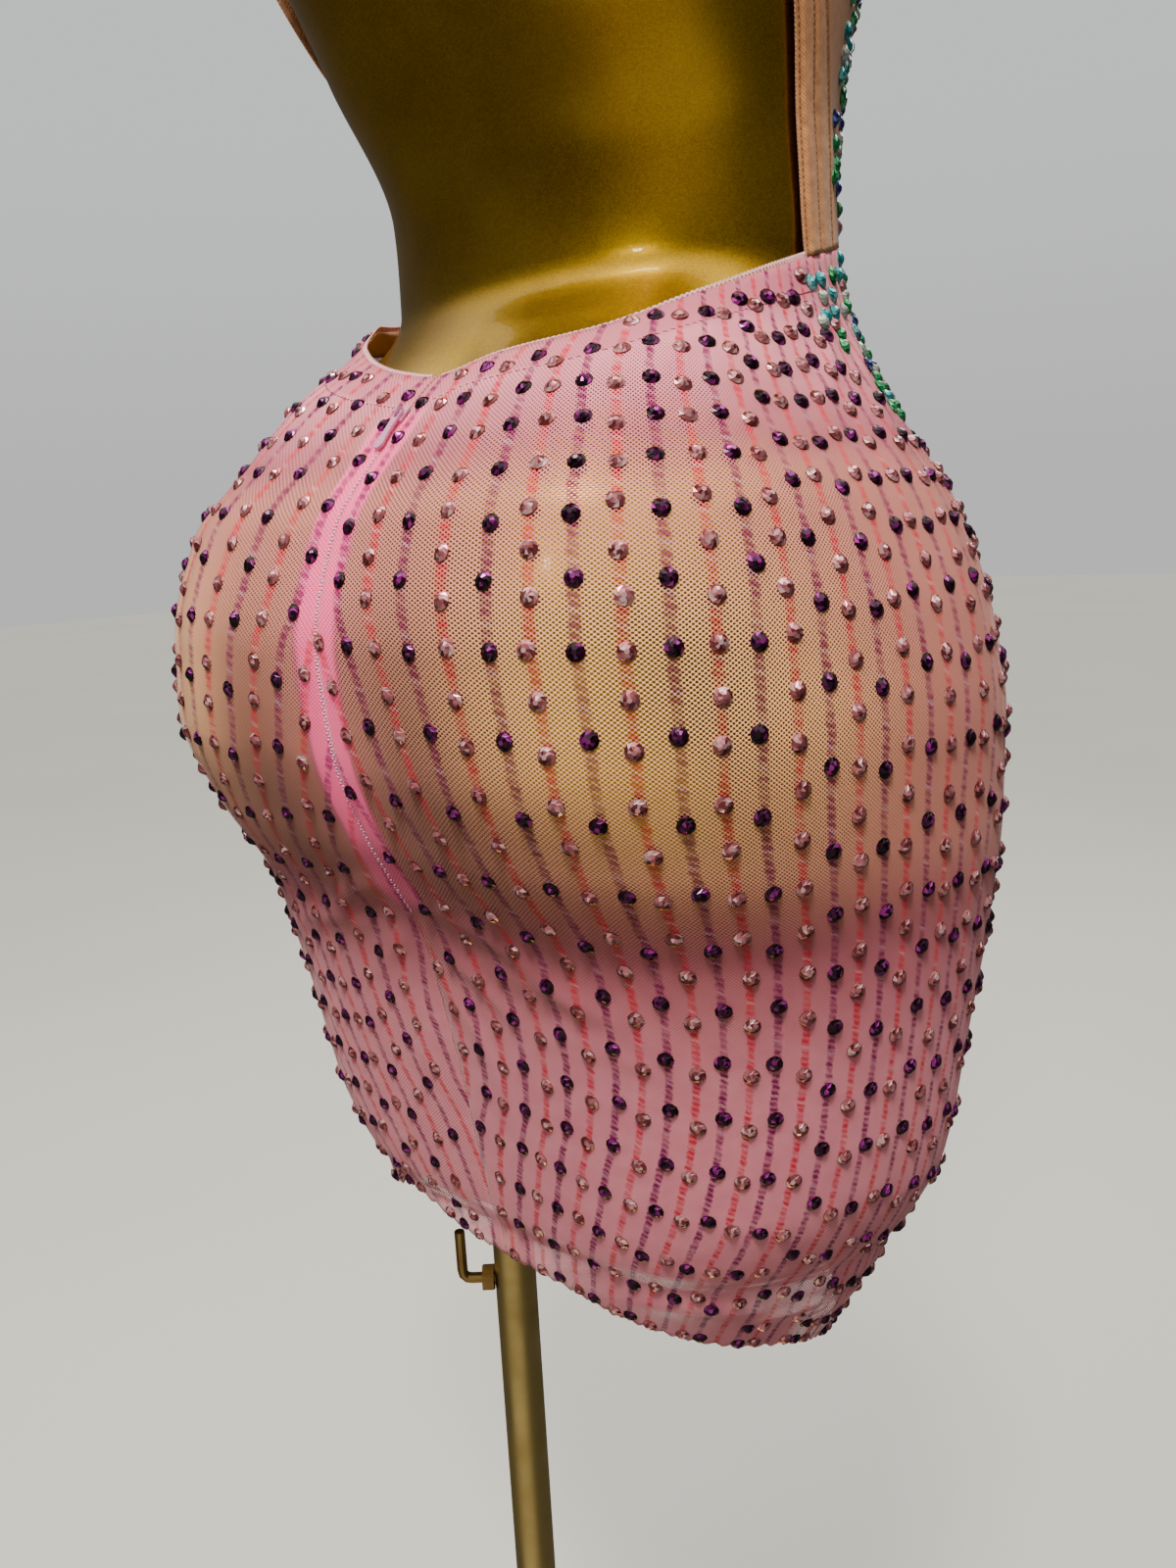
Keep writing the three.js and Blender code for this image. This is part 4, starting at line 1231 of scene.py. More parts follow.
@dataclass
class Studio:
    """Pale floor, pale surroundings and soft lamps."""

    lamps: tuple[Lamp, ...] = (
        Lamp("ceiling_near", (-0.66, 1.02, 2.5), 0.36, 50, "#fff2e0", mirrored=False),
        Lamp("ceiling_over", (0.13, 0.39, 2.5), 0.4, 12, "#fff4e4"),
        Lamp("ceiling_back", (0.0, 1.9, 2.31), 0.12, 4, "#fff8ee"),
        Lamp("ceiling_far", (0.76, -0.57, 2.5), 0.1, 4, "#fff8ee"),
        Lamp("front_key", (0.9, -2.1, 2.2), 1.2, 16, "#fffaf2"),
    )
    aim: tuple[float, float, float] = (-0.03, -0.02, 0.85)
    bright_side: tuple[float, float, float] = (-0.3, 0.85, -0.4)
    floor_size: float = 30.0

    def make(self) -> None:
        """Adds the lamps, the surroundings and the floor."""
        for lamp in self.lamps:
            data = bpy.data.lights.new(lamp.name, "AREA")
            data.size = lamp.size
            data.energy = lamp.power
            data.color = linear(lamp.colour)[:3]
            light = bpy.data.objects.new(lamp.name, data)
            place = Vector(lamp.place)
            facing = (Vector(self.aim) - place).to_track_quat("-Z", "Y")
            light.matrix_world = Matrix.Translation(place) @ facing.to_matrix().to_4x4()
            light.visible_glossy = lamp.mirrored
            bpy.context.scene.collection.objects.link(light)
        self.surroundings()
        self.floor()

    def surroundings(self) -> None:
        """A pale room: brightest behind the photographer and overhead, plain where it is seen."""
        world = bpy.data.worlds.new("pale_room")
        bpy.context.scene.world = world
        tree = Tree(world)
        add = tree.add
        direction = add("ShaderNodeTexCoord", output="Generated")
        toward = add(
            "ShaderNodeVectorMath",
            {0: direction, 1: Vector(self.bright_side).normalized()},
            {"operation": "DOT_PRODUCT"},
            "Value",
        )
        height = add("ShaderNodeSeparateXYZ", {0: direction}, output="Z")
        lobe = add(RANGE, {0: toward, 1: 0.6, 2: 0.97}, EASED)
        above = add(RANGE, {0: height, 1: 0.5, 2: 0.92}, EASED)
        colour = add(MIX, {0: lobe, 6: linear("#3c3a37"), 7: linear("#857e72")}, COLOUR_MIX, COLOUR)
        colour = add(MIX, {0: above, 6: colour, 7: linear("#fff8ee")}, COLOUR_MIX, COLOUR)
        lighting = add("ShaderNodeBackground", {"Color": colour, "Strength": 2.3})
        low = add(RANGE, {0: height, 1: 0.0, 2: 0.3}, EASED)
        wall = add(MIX, {0: low, 6: linear("#cbcdcb"), 7: linear("#dcdfde")}, COLOUR_MIX, COLOUR)
        seen = add("ShaderNodeBackground", {"Color": wall, "Strength": 1.0})
        camera_ray = add("ShaderNodeLightPath", output="Is Camera Ray")
        shader = add("ShaderNodeMixShader", {0: camera_ray, 1: lighting, 2: seen})
        add("ShaderNodeOutputWorld", {"Surface": shader})

    def floor(self) -> None:
        """A plain pale floor under the stand."""
        grid = bmesh.new()
        bmesh.ops.create_grid(grid, x_segments=8, y_segments=8, size=self.floor_size / 2 / MM)
        floor = bpy.data.objects.new("floor", mesh_of("floor", grid))
        bpy.context.scene.collection.objects.link(floor)
        # The part is lit and mirrored by the room alone, as if it stood far above the floor
        floor.visible_diffuse = False
        floor.visible_glossy = False
        material = bpy.data.materials.new("pale_painted_floor")
        tree = Tree(material)
        place = tree.add("ShaderNodeTexCoord", output="Object")
        cloud = tree.add(NOISE, {"Vector": place, "Scale": 0.8, "Detail": 2.0})
        colour = tree.add(MIX, {0: cloud, 6: linear("#c4c6c2"), 7: linear("#cdd0cd")}, COLOUR_MIX, COLOUR)
        shader = tree.add(PRINCIPLED, {"Base Color": colour, "Roughness": 0.85})
        tree.add("ShaderNodeOutputMaterial", {"Surface": shader})
        floor.data.materials.append(material)
        floor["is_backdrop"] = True


@dataclass
class Form:
    """The limbless dress form."""

    body: Body
    columns: int = 180
    rows: int = 230
    rounding: float = 6
    neck_rounding: float = 3
    end: float = 0.03
    edge: float = 0.45

    def make(self) -> None:
        """Builds the form as one closed smooth shell."""
        end = self.end
        grid = bmesh.new()
        bmesh.ops.create_grid(grid, x_segments=self.columns, y_segments=self.rows, size=0.5)
        points = [Vector(v.co) for v in grid.verts]
        share = np.array([[p.x, p.y] for p in points]) + 0.5
        angle = share[:, 0] * 360 - 180
        middle = np.clip((share[:, 1] - end) / (1 - 2 * end), 0, 1)
        foot = FORM_BOTTOM + self.rounding
        level = foot + middle * (NECK_TOP - foot)
        place = self.body.form(angle, level)
        under = np.clip(share[:, 1] / end, 0, 1)
        over = np.clip((1 - share[:, 1]) / end, 0, 1)
        place = self.capped(place, under, HIP_HEIGHT + FORM_BOTTOM, self.rounding)
        crown = HIP_HEIGHT + NECK_TOP + self.neck_rounding
        place = self.capped(place, over, crown, -self.neck_rounding)
        for vert, point in zip(grid.verts, place):
            vert.co = point
        bmesh.ops.remove_doubles(grid, verts=grid.verts, dist=0.01)
        bmesh.ops.recalc_face_normals(grid, faces=grid.faces)
        piece = finished("dress_form_shell", mesh_of("dress_form_shell", grid), Finish.FORM)
        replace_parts(piece, "dress_form")

    def capped(self, place: Array, share: Array, height: float, rounding: float) -> Array:
        """Draws the rows near one end in to the axis, over a rounded edge.

        Args:
            place: The grid's points.
            share: 0 on the axis and 1 from the edge on.
            height: The end's height.
            rounding: Radius of the edge, negative at the top.

        Returns:
            The points with that end closed.
        """
        edge = self.edge
        turn = np.clip((share - edge) / (1 - edge), 0, 1) * np.pi / 2
        centre = np.array([self.body.AXIS_X, self.body.AXIS_Y])
        out = place[:, :2] - centre
        radius = np.linalg.norm(out, axis=1)
        flat = np.clip(share / edge, 0, 1) * (radius - abs(rounding))
        reach = np.where(share < edge, flat, radius - abs(rounding) * (1 - np.sin(turn)))
        rise = np.where(share < edge, 0, rounding * (1 - np.cos(turn)))
        capped = place.copy()
        inside = share < 1
        capped[inside, :2] = centre + out[inside] * (reach / radius)[inside, None]
        capped[inside, 2] = height + rise[inside]
        return capped


@dataclass
class Stand:
    """Round base, pole, inner tube, flange and clamp, all brass."""

    pole_radius: float = 10.5
    base_radius: float = 170
    base_edge: float = 2.5
    pole_bore: float = 8.3
    rod_radius: float = 8
    tube_edge: float = 0.6
    flange_radius: float = 34
    flange_edge: float = 0.8
    screw_circle: float = 25
    screws: int = 4
    crisp: float = 35

    def make(self) -> None:
        """Builds each piece of the stand from its solid's own height."""
        self.base()
        self.collar()
        self.tube("pole_tube", "pole", self.pole_radius, self.pole_bore)
        self.tube("inner_rod", "inner_tube", self.rod_radius, 0)
        self.flange()
        for node in ("clamp_nut", "clamp_screw"):
            keep_solid(node, Finish.CLAMP, 0.35)

    def turned(self, name: str, node: str, outline: Outline, steps: int) -> None:
        """Spins an outline into a piece that replaces its solid, with its sharper edges kept crisp."""
        mesh = mesh_of(name, turned_shape(outline, steps))
        mesh.set_sharp_from_angle(angle=math.radians(self.crisp))
        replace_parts(finished(name, mesh, Finish.STAND), node)

    def heights(self, node: str) -> tuple[float, float]:
        """A solid's lowest and highest level in millimetres."""
        low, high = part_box(node)
        return low.z / MM, high.z / MM

    def rounded(self, radius: float, low: float, high: float, edge: float) -> Outline:
        """Outline of a disc with rounded rims, from its underside's centre to its top's centre."""
        turns = [math.radians(x) for x in range(0, 91, 15)]
        lower = [(radius - edge + edge * math.sin(t), low + edge - edge * math.cos(t)) for t in turns]
        upper = [(radius - edge + edge * math.cos(t), high - edge + edge * math.sin(t)) for t in turns]
        return [(0, low), (radius * 0.5, low), *lower, *upper, (radius * 0.5, high), (0, high)]

    def base(self) -> None:
        """The round base plate with a softened rim."""
        low, high = self.heights("base_plate")
        outline = self.rounded(self.base_radius, low, high, self.base_edge)
        self.turned("base_disc", "base_plate", outline, 128)

    def collar(self) -> None:
        """The collar round the pole's foot, with a turned bead and a coved top."""
        low, high = self.heights("base_collar")
        bore, wide = self.pole_radius + 0.3, 19
        outline = [
            (bore, low),
            (wide, low),
            (wide, low + 7),
            (wide - 1.2, low + 8),
            (wide - 1.2, low + 10),
            (wide - 0.4, low + 11),
            (wide - 0.4, high - 8),
            (wide - 2.5, high - 3),
            (wide - 6, high - 0.8),
            (bore + 0.8, high),
            (bore, high - 0.5),
        ]
        self.turned("pole_collar", "base_collar", outline, 72)

    def tube(self, name: str, node: str, radius: float, bore: float) -> None:
        """An upright tube or rod with eased ends."""
        low, high = self.heights(node)
        edge = self.tube_edge
        outline = self.rounded(radius, low, high, edge)
        if bore:
            top = [(radius, high - edge), (radius - edge, high), (bore, high)]
            outline = [(bore, low), (radius, low), *top]
        self.turned(name, node, outline, 64)

    def flange(self) -> None:
        """The round flange under the form, with its screw heads."""
        low, high = self.heights("form_flange")
        outline = self.rounded(self.flange_radius, low, high, self.flange_edge)
        self.turned("flange_disc", "form_flange", outline, 72)
        head = turned_shape([(0, -0.1), (3.2, -0.1), (3.2, 0.8), (2.2, 1.6), (0, 1.9)], 20)
        head.verts.index_update()
        turns = np.radians((np.arange(self.screws) + 0.5) * 360 / self.screws)
        around = [self.screw_circle * np.cos(turns), self.screw_circle * np.sin(turns)]
        points = np.stack([*around, np.full(self.screws, low)], axis=-1)
        down = np.tile([0.0, 0.0, -1.0], (self.screws, 1))
        across = np.tile([1.0, 0.0, 0.0], (self.screws, 1))
        frames = Frames(points, across, np.cross(down, across), down)
        mesh = copies("flange_screws", head, frames)
        finished("flange_screws", mesh, Finish.CLAMP)


def keep_solid(node: str, finish: Finish, edge: float) -> None:
    """Gives a solid that stays its real material, joins its loose faces and rounds its edges."""
    piece = bpy.data.objects[node]
    piece.data.materials.clear()
    piece.data.materials.append(finish.material)
    weld = piece.modifiers.new("weld", "WELD")
    weld.merge_threshold = 1e-5
    bevel = piece.modifiers.new("ease", "BEVEL")
    bevel.width = edge * MM
    bevel.segments = 2
    bevel.limit_method = "ANGLE"
    bevel.angle_limit = math.radians(40)


@dataclass
class Skirt:
    """Printed mesh skirt: three panels, picot elastic, centre-back zip and hem."""

    body: Body
    print: Print
    seam: float = 0.3
    outside: float = -0.45
    thickness: float = 0.5
    hem_wave: float = 2.4

    ROWS = 150
    COLUMNS_A_DEGREE = 1.1
    ZIP_FOOT_FADE = 14
    ZIP_HEAD_GAP = 14
    ZIP_HEAD_FADE = 4
    ZIP_EDGE = 2
    ZIP_EDGE_FADE = 2.5
    DRAWN_IN_LEAST = 0.3
    DRAWN_IN = (-50, 35)
    BAND_EDGE = 0.8
    BAND_FADE = 1.6
    BAND_END = (88, 4)
    # Where the painted shade beside the seam lies: its middle and width round the body and up it
    HOLLOW_SHADE_AROUND = (14, 8)
    HOLLOW_SHADE_LEVEL = (-5, 62)
    DOUBLED_ZIP = 0.6
    DOUBLED_BAND = 0.9
    ELASTIC_ENDS = (0.9, 83.5)
    ELASTIC_INSIDE = -1.55
    TAPE_INSIDE = -1.75
    STITCH_BELOW = 0.4
    STITCH_STEP = 1.25
    PICOT_STEP = 1.05
    PICOT_INSIDE = -1.0
    PICOT_BELOW = 0.25
    TRIM_END = 84
    COIL_PITCH = 1.25
    COIL_ASIDE = 0.28
    COIL_SLANT = 14
    COIL_LIFT = 0.05

    def hem(self, angle: Array) -> Array:
        """The raw hem, which curls a little between the stones that hold it."""
        level = self.body.hem(angle)
        number = self.print.stripe_number(angle, level)
        return level + self.hem_wave * np.cos(4 * np.pi * number) * 0.5

    def zip_share(self, angle: Array, level: Array) -> Array:
        """1 over the zip's tapes, fading at their edges."""
        arc = np.abs(wrap(angle)) * self.body.arm(angle, level)
        head = self.body.top_edge(angle) - self.ZIP_HEAD_GAP - level
        ends = smooth((level - ZIP_BOTTOM) / self.ZIP_FOOT_FADE) * smooth(head / self.ZIP_HEAD_FADE)
        least, (foot, fade) = self.DRAWN_IN_LEAST, self.DRAWN_IN
        drawn_in = least + (1 - least) * smooth((level - foot) / fade)
        return smooth((TAPE_WIDTH + self.ZIP_EDGE - arc) / self.ZIP_EDGE_FADE) * ends * drawn_in

    def band(self, angle: Array, level: Array) -> Array:
        """1 over the turned-in elastic."""
        below = self.body.top_edge(angle) - level
        end, fade = self.BAND_END
        back = smooth((end - np.abs(wrap(angle))) / fade)
        return smooth((ELASTIC_WIDTH + self.BAND_EDGE - below) / self.BAND_FADE) * back

    def bridge(self, angle: Array, level: Array) -> Array:
        """Painted shade on the net where it spans the hollow beside the seam."""
        (around, width), (middle, height) = self.HOLLOW_SHADE_AROUND, self.HOLLOW_SHADE_LEVEL
        return gauss(np.abs(wrap(angle)) - around, width) * gauss(level - middle, height)

    def open_share(self, angle: Array, level: Array) -> Array:
        """How open the net is, less where it is doubled."""
        zip_part = self.zip_share(angle, level) * self.DOUBLED_ZIP
        doubled = np.maximum(zip_part, self.band(angle, level) * self.DOUBLED_BAND)
        return openness(angle, level) * (1 - doubled)

    def panel(self, name: str, start: float, end: float) -> bpy.types.Object:
        """One panel between two seams."""

        def place(across: Array, along: Array) -> tuple[Array, Array]:
            """Angle and level for a share across and along the cut."""
            angle = start + (end - start) * across
            low = self.hem(angle)
            level = low + (self.body.top_edge(angle) - low) * along
            inset = self.seam / 2 * (1 - 2 * across)
            return self.body.beyond(angle, level, inset), level

        # The open share also places the net's painted shade and painted glow over the hips; the hollow
        # share places the painted shade beside the seam
        shares = {
            "open": self.open_share,
            "zip": self.zip_share,
            "band": self.band,
            "bridge": self.bridge,
        }
        columns = round((end - start) * self.COLUMNS_A_DEGREE)
        size = (columns, self.ROWS, self.thickness)
        surface = self.body.at(self.outside)
        sheet = Sheet(f"{name}_cloth", place, surface, *size, shares, self.print.uv)
        return sheet.make(Finish.NET, "skirt_mesh", name)

    def make(self) -> None:
        """Builds the cloth, its trimmings and the zip."""
        panels = (
            ("skirt_front", SIDE_SEAM, 360 - SIDE_SEAM, (0.37, 0.47), 0.156),
            ("skirt_back_right", 0, SIDE_SEAM, (0.25, 0.43), 0.097),
            ("skirt_back_left", -SIDE_SEAM, 0, (0.25, 0.43), 0.097),
        )
        for name, start, end, flat, area in panels:
            piece = self.panel(name, start, end)
            # The small of the back would mirror the hips as a bright hard-edged patch
            piece.visible_glossy = False
        for side, word in ((1, "right"), (-1, "left")):
            self.elastic(side, word)
            self.tape(side, word)
        self.edge_stitches()
        self.picots()
        self.coil()

    def elastic(self, side: int, word: str) -> None:
        """The elastic turned in under the top edge."""
        near, far = self.ELASTIC_ENDS

        def place(across: Array, along: Array) -> tuple[Array, Array]:
            """Angle and level for a share across and along the cut."""
            angle = min(side * near, side * far) + (far - near) * across
            return angle, self.body.top_edge(angle) - ELASTIC_WIDTH * (1 - along)

        surface = self.body.at(self.ELASTIC_INSIDE)
        sheet = Sheet(f"waist_elastic_band_{word}", place, surface, 84, 6, 0.8)
        piece = sheet.make(Finish.ELASTIC, "waist_elastic", f"waist_elastic_{word}")

    def tape(self, side: int, word: str) -> None:
        """One tape of the concealed zip, behind its panel's edge."""
        top = float(self.body.top_edge(np.array(0.0))) - ELASTIC_WIDTH - self.seam

        def place(across: Array, along: Array) -> tuple[Array, Array]:
            """Angle and level for a share across and along the cut."""
            level = ZIP_BOTTOM + (top - ZIP_BOTTOM) * along
            share = across if side > 0 else 1 - across
            distance = self.seam / 2 + (TAPE_WIDTH - self.seam / 2) * share
            return side * self.body.beyond(0 * level, level, distance), level

        surface = self.body.at(self.TAPE_INSIDE)
        sheet = Sheet(f"zip_tape_strip_{word}", place, surface, 8, 90, 0.7)
        piece = sheet.make(Finish.TAPE, "zip_tape", f"zip_tape_{word}")

    def edge_stitches(self) -> None:
        """The dashed seam that holds the elastic, just below it."""
        angle = self.both_sides(1.5, self.STITCH_STEP)
        level = self.body.top_edge(angle) - ELASTIC_WIDTH - self.STITCH_BELOW
        frames = Frames.on(self.body.at(self.outside), angle, level).turned(90)
        mesh = copies("edge_stitches", pill_shape(2.3, 0.7, 0.5), frames)
        finished("edge_stitches", mesh, Finish.THREAD)

    def both_sides(self, first: float, step: float) -> Array:
        """Angles a step apart along the top edge on the left and the right."""
        end = self.TRIM_END
        return np.concatenate([np.arange(-end, -first, step), np.arange(first, end, step)])

    def picots(self) -> None:
        """The elastic's tiny loops above the top edge."""
        angle = self.both_sides(1.2, self.PICOT_STEP)
        level = self.body.top_edge(angle) - self.PICOT_BELOW
        frames = Frames.on(self.body.at(self.PICOT_INSIDE), angle, level)
        mesh = copies("picot_loops", loop_shape(1.9, 2.2, 0.8), frames)
        finished("picot_loops", mesh, Finish.PICOT)

    def coil(self) -> None:
        """The concealed zip's coil, which shows as a thin line between the panels' edges."""
        level = np.arange(ZIP_BOTTOM + 2, SLIDER_LEVEL - 3, self.COIL_PITCH)
        side = np.where(np.arange(len(level)) % 2, 1.0, -1.0)
        angle = self.body.beyond(0 * level, level, self.COIL_ASIDE * side)
        surface = self.body.at(self.outside + self.COIL_LIFT)
        frames = Frames.on(surface, angle, level).turned(90 + self.COIL_SLANT * side)
        mesh = copies("zip_coil", pill_shape(1.5, 1.0, 0.9), frames)
        finished("zip_coil", mesh, Finish.COIL)


class Stones:
    """Flat-back crystals: columns along the skirt's stripes and flowers on the bodice."""

    # Lower edge of the flowered part on each side, from behind the side seam to the front
    YOKE = ((76, 190), (80, 172), (85, 146), (92, 124), (102, 112), (128, 120), (155, 134), (180, 142))
    YOKE_START = 76
    LEFT_YOKE_LEAD = 10
    LEFT_YOKE_FADE = (110, 20)
    COLOURS = (Finish.AMETHYST, Finish.ROSE, Finish.GREEN, Finish.AQUA, Finish.BLUE, Finish.CLEAR)
    LEVELS = (-305, 200, 0.5)
    FOLLOW_HEM = (-60, 190)
    JITTER_UP = 0.8
    JITTER_ASIDE = 0.6
    CLEAR_OF_SEAM = 2.6
    CLEAR_OF_EDGE = 2.4
    CLEAR_OF_YOKE = 5
    FRONT_END = 179.3
    ABOVE_HEM = 3.4
    WAIST_LEVELS = (120, 190, 0.5)
    WAIST_START = 40
    CLEAR_OF_TOP = 7
    NUMBERS = (-1, 24, 0.5)
    LAST_IN_ROWS = 6.6
    BODICE_START = 103
    CLEAR_OF_JOIN = 3.6
    CLEAR_OF_NECKLINE = 4.5
    LIFT = 0.05
    LEAN = 0.035

    def __init__(self, body: Body, print_: Print) -> None:
        """Keeps what the stones are laid on."""
        self.body = body
        self.print = print_
        self.yoke = Curve([row[0] for row in self.YOKE], [row[1] for row in self.YOKE])
        self.random = np.random.default_rng(11)
        self.rows = table_curves(ROW_COLUMNS, ROW_SPACING)
        self.places: dict[Finish, list[tuple[float, float, bool]]] = {c: [] for c in self.COLOURS}

    def forward(self, angle: Array) -> Array:
        """Angle from the back, on the left less by the flowered part's later start."""
        side = wrap(angle)
        start, fade = self.LEFT_YOKE_FADE
        lead = self.LEFT_YOKE_LEAD * smooth((start + side) / fade)
        return np.abs(side) - np.where(side < 0, lead, 0)

    def row_levels(self, kind: str, anchor: float, phase: float) -> Array:
        """Levels of a column's stones, from the hem up.

        Args:
            kind: dark or rose, which set the spacing.
            anchor: Level of one row.
            phase: Share of a row by which the column is shifted.

        Returns:
            The levels.
        """
        levels = np.arange(*self.LEVELS)
        counted = np.concatenate([[0], np.cumsum(self.LEVELS[2] / self.rows[kind](levels[:-1]))])
        base = float(np.interp(anchor, levels, counted)) + phase
        numbers = np.arange(math.ceil(-base), math.floor(counted[-1] - base) + 1) + base
        return np.interp(numbers, counted, levels)

    def column(self, base: Array, finish: Finish, number: float, side: int) -> None:
        """One column of stones along a stripe.

        Args:
            base: The rows' levels before they follow the hem.
            finish: The stones' colour.
            number: The stripe's number.
            side: 1 on the right and -1 on the left.
        """
        angle = self.print.angle_of(number, side, base)
        keep = ~np.isnan(angle)
        base, angle = base[keep], angle[keep]
        if not len(base):
            return
        base, angle = self.reach_hem(base, angle, number, side)
        if side < 0:
            base, angle = self.reach_top(base, angle, number)
        start, fade = self.FOLLOW_HEM
        follow = smooth((start - base) / fade)
        level = base + follow * (self.body.hem(angle) - self.body.hem(np.array(0.0)))
        level = level + self.random.normal(0, self.JITTER_UP, len(level))
        aside = self.random.normal(0, self.JITTER_ASIDE, len(level))
        angle = self.body.beyond(angle, level, aside)
        away, forward = np.abs(wrap(angle)), self.forward(angle)
        keep = (forward < self.YOKE_START) | (level < self.yoke(forward) - self.CLEAR_OF_YOKE)
        keep &= level < self.body.top_edge(angle) - self.CLEAR_OF_EDGE
        keep &= level > self.body.hem(angle) + self.CLEAR_OF_EDGE
        keep &= away * self.body.arm(angle, level) > self.CLEAR_OF_SEAM
        keep &= away < self.FRONT_END
        self.places[finish].extend((a, l, True) for a, l in zip(angle[keep], level[keep]))

    def reach_hem(
        self, base: Array, angle: Array, number: float, side: int
    ) -> tuple[Array, Array]:
        """Ends a column with a stone just above the hem, moved or added.

        Args:
            base: Levels of the column's stones before they follow the hem.
            angle: Their angles.
            number: The stripe's number.
            side: 1 on the right and -1 on the left.

        Returns:
            The levels and angles, from the hem up.
        """
        last = float(self.body.hem(np.array(0.0))) + self.ABOVE_HEM
        keep = base > last + 0.45 * (base[1] - base[0] if len(base) > 1 else 20)
        ends = np.array([last])
        end_angle = self.print.angle_of(number, side, ends)
        if np.isnan(end_angle).any():
            return base, angle
        return np.concatenate([ends, base[keep]]), np.concatenate([end_angle, angle[keep]])

    def reach_top(self, base: Array, angle: Array, number: float) -> tuple[Array, Array]:
        """Ends a column on the left with a stone on the cut edge of the waist.

        Args:
            base: Levels of the column's stones, from the hem up.
            angle: Their angles.
            number: The stripe's number.

        Returns:
            The levels and angles with the stone at the top.
        """
        level = np.arange(*self.WAIST_LEVELS)
        around = self.print.angle_of(number, -1, level)
        over = np.flatnonzero(level > self.body.top_edge(np.nan_to_num(around)) - self.ABOVE_HEM)
        if not len(over) or np.isnan(around[over[0]]) or abs(around[over[0]]) < self.WAIST_START:
            return base, angle
        top = over[0]
        keep = base < level[top] - self.CLEAR_OF_TOP
        return np.append(base[keep], level[top]), np.append(angle[keep], around[top])

    def lay_columns(self) -> None:
        """Dark stones on the purple stripes and rose ones on the coral stripes."""
        for side in (1, -1):
            for number in np.arange(*self.NUMBERS):
                in_rows = side > 0 and number < self.LAST_IN_ROWS
                phase = 0.0 if in_rows else 0.42 + float(self.random.normal(0, 0.16))
                kind, finish, anchor = "rose", Finish.ROSE, 57.0
                if float(number).is_integer():
                    kind, finish, anchor = "dark", Finish.AMETHYST, 40.0
                self.column(self.row_levels(kind, anchor, phase), finish, float(number), side)

    def flower(self, angle: float, level: float, colours: Sequence[Finish], turn: float) -> None:
        """One flower: a centre stone, six petals, and leaves and single stones between them."""
        centre, petal, leaf = colours
        spots = [(0.0, 0.0, centre)]
        spots += [(7.4, turn + 60 * i, petal) for i in range(6)]
        spots += [(14.4, turn + 30 + 120 * i, leaf) for i in range(3)]
        spots += [(14.0, turn + 90 + 120 * i, Finish.CLEAR if i else leaf) for i in range(3)]
        for radius, bearing, finish in spots:
            x = radius * math.cos(math.radians(bearing))
            y = radius * math.sin(math.radians(bearing))
            self.single(angle, level, x, y, finish)

    def single(self, angle: float, level: float, x: float, y: float, finish: Finish) -> None:
        """One stone at an offset in millimetres, if the flowered part reaches it."""
        up = level + y
        around = float(self.body.beyond(np.array(angle), np.array(up), np.array(x)))
        away = abs(float(wrap(np.array(around))))
        edge = float(self.body.top_edge(np.array(around)))
        forward = float(self.forward(np.array(around)))
        behind = forward < self.YOKE_START + 1
        if behind or up < float(self.yoke(np.array(forward))) or abs(up - edge) < self.CLEAR_OF_JOIN:
            return
        on_skirt = up < edge
        top = self.top_of_bodice(away) - self.CLEAR_OF_NECKLINE
        if on_skirt or (away >= self.BODICE_START and up <= top):
            self.places[finish].append((around, up, on_skirt))

    def top_of_bodice(self, away: float) -> float:
        """Level of the bodice's upper edge at an angle."""
        if away < FRONT_SEAM:
            return BODICE_TOP_SIDE - 3
        return float(self.body.neckline(np.array(away)))

    def lay_flowers(self) -> None:
        """Flowers in a half-drop repeat over the bodice's front and the front of the waist."""
        sets = (
            (Finish.AMETHYST, Finish.ROSE, Finish.GREEN),
            (Finish.CLEAR, Finish.AQUA, Finish.GREEN),
            (Finish.ROSE, Finish.BLUE, Finish.GREEN),
            (Finish.AQUA, Finish.GREEN, Finish.BLUE),
        )
        drop, gap = 37.0, 38.0
        count = 0
        for row in range(20):
            level = 104 + row * drop / 2
            for column in range(-3, 4):
                across = (column + (0.5 if row % 2 else 0.0)) * 2 * gap
                around = float(self.body.beyond(np.array(180.0), np.array(level), np.array(across)))
                self.flower(around, level, sets[count % len(sets)], 17.0 * (count % 5))
                for x, finish in ((-gap, Finish.GREEN), (gap, Finish.CLEAR)):
                    self.single(around, level, x, 0.0, finish)
                    self.single(around, level, x, 8.0, Finish.AQUA if column % 2 else Finish.ROSE)
                count += 1

    def make(self) -> None:
        """Lays every stone and joins them by colour."""
        self.lay_columns()
        self.lay_flowers()
        skirt = self.body.at(Skirt.outside + self.LIFT)
        bodice = self.body.at(Bodice.outside + self.LIFT, of_bodice=True)
        for finish, places in self.places.items():
            angle, level, on_skirt = (np.array(column) for column in zip(*places))

            def surface(around: Array, height: Array, on: Array = on_skirt) -> Array:
                """Points of whichever cloth each stone is on."""
                return np.where(on[:, None], skirt(around, height), bodice(around, height))

            frames = Frames.on(surface, angle, level)
            frames = frames.tilted(self.random.normal(0, self.LEAN, (len(places), 2)))
            frames = frames.turned(self.random.random(len(places)) * 360)
            name = f"stones_{finish.name.lower()}"
            finished(name, copies(name, crystal_shape(), frames, self.random), finish)


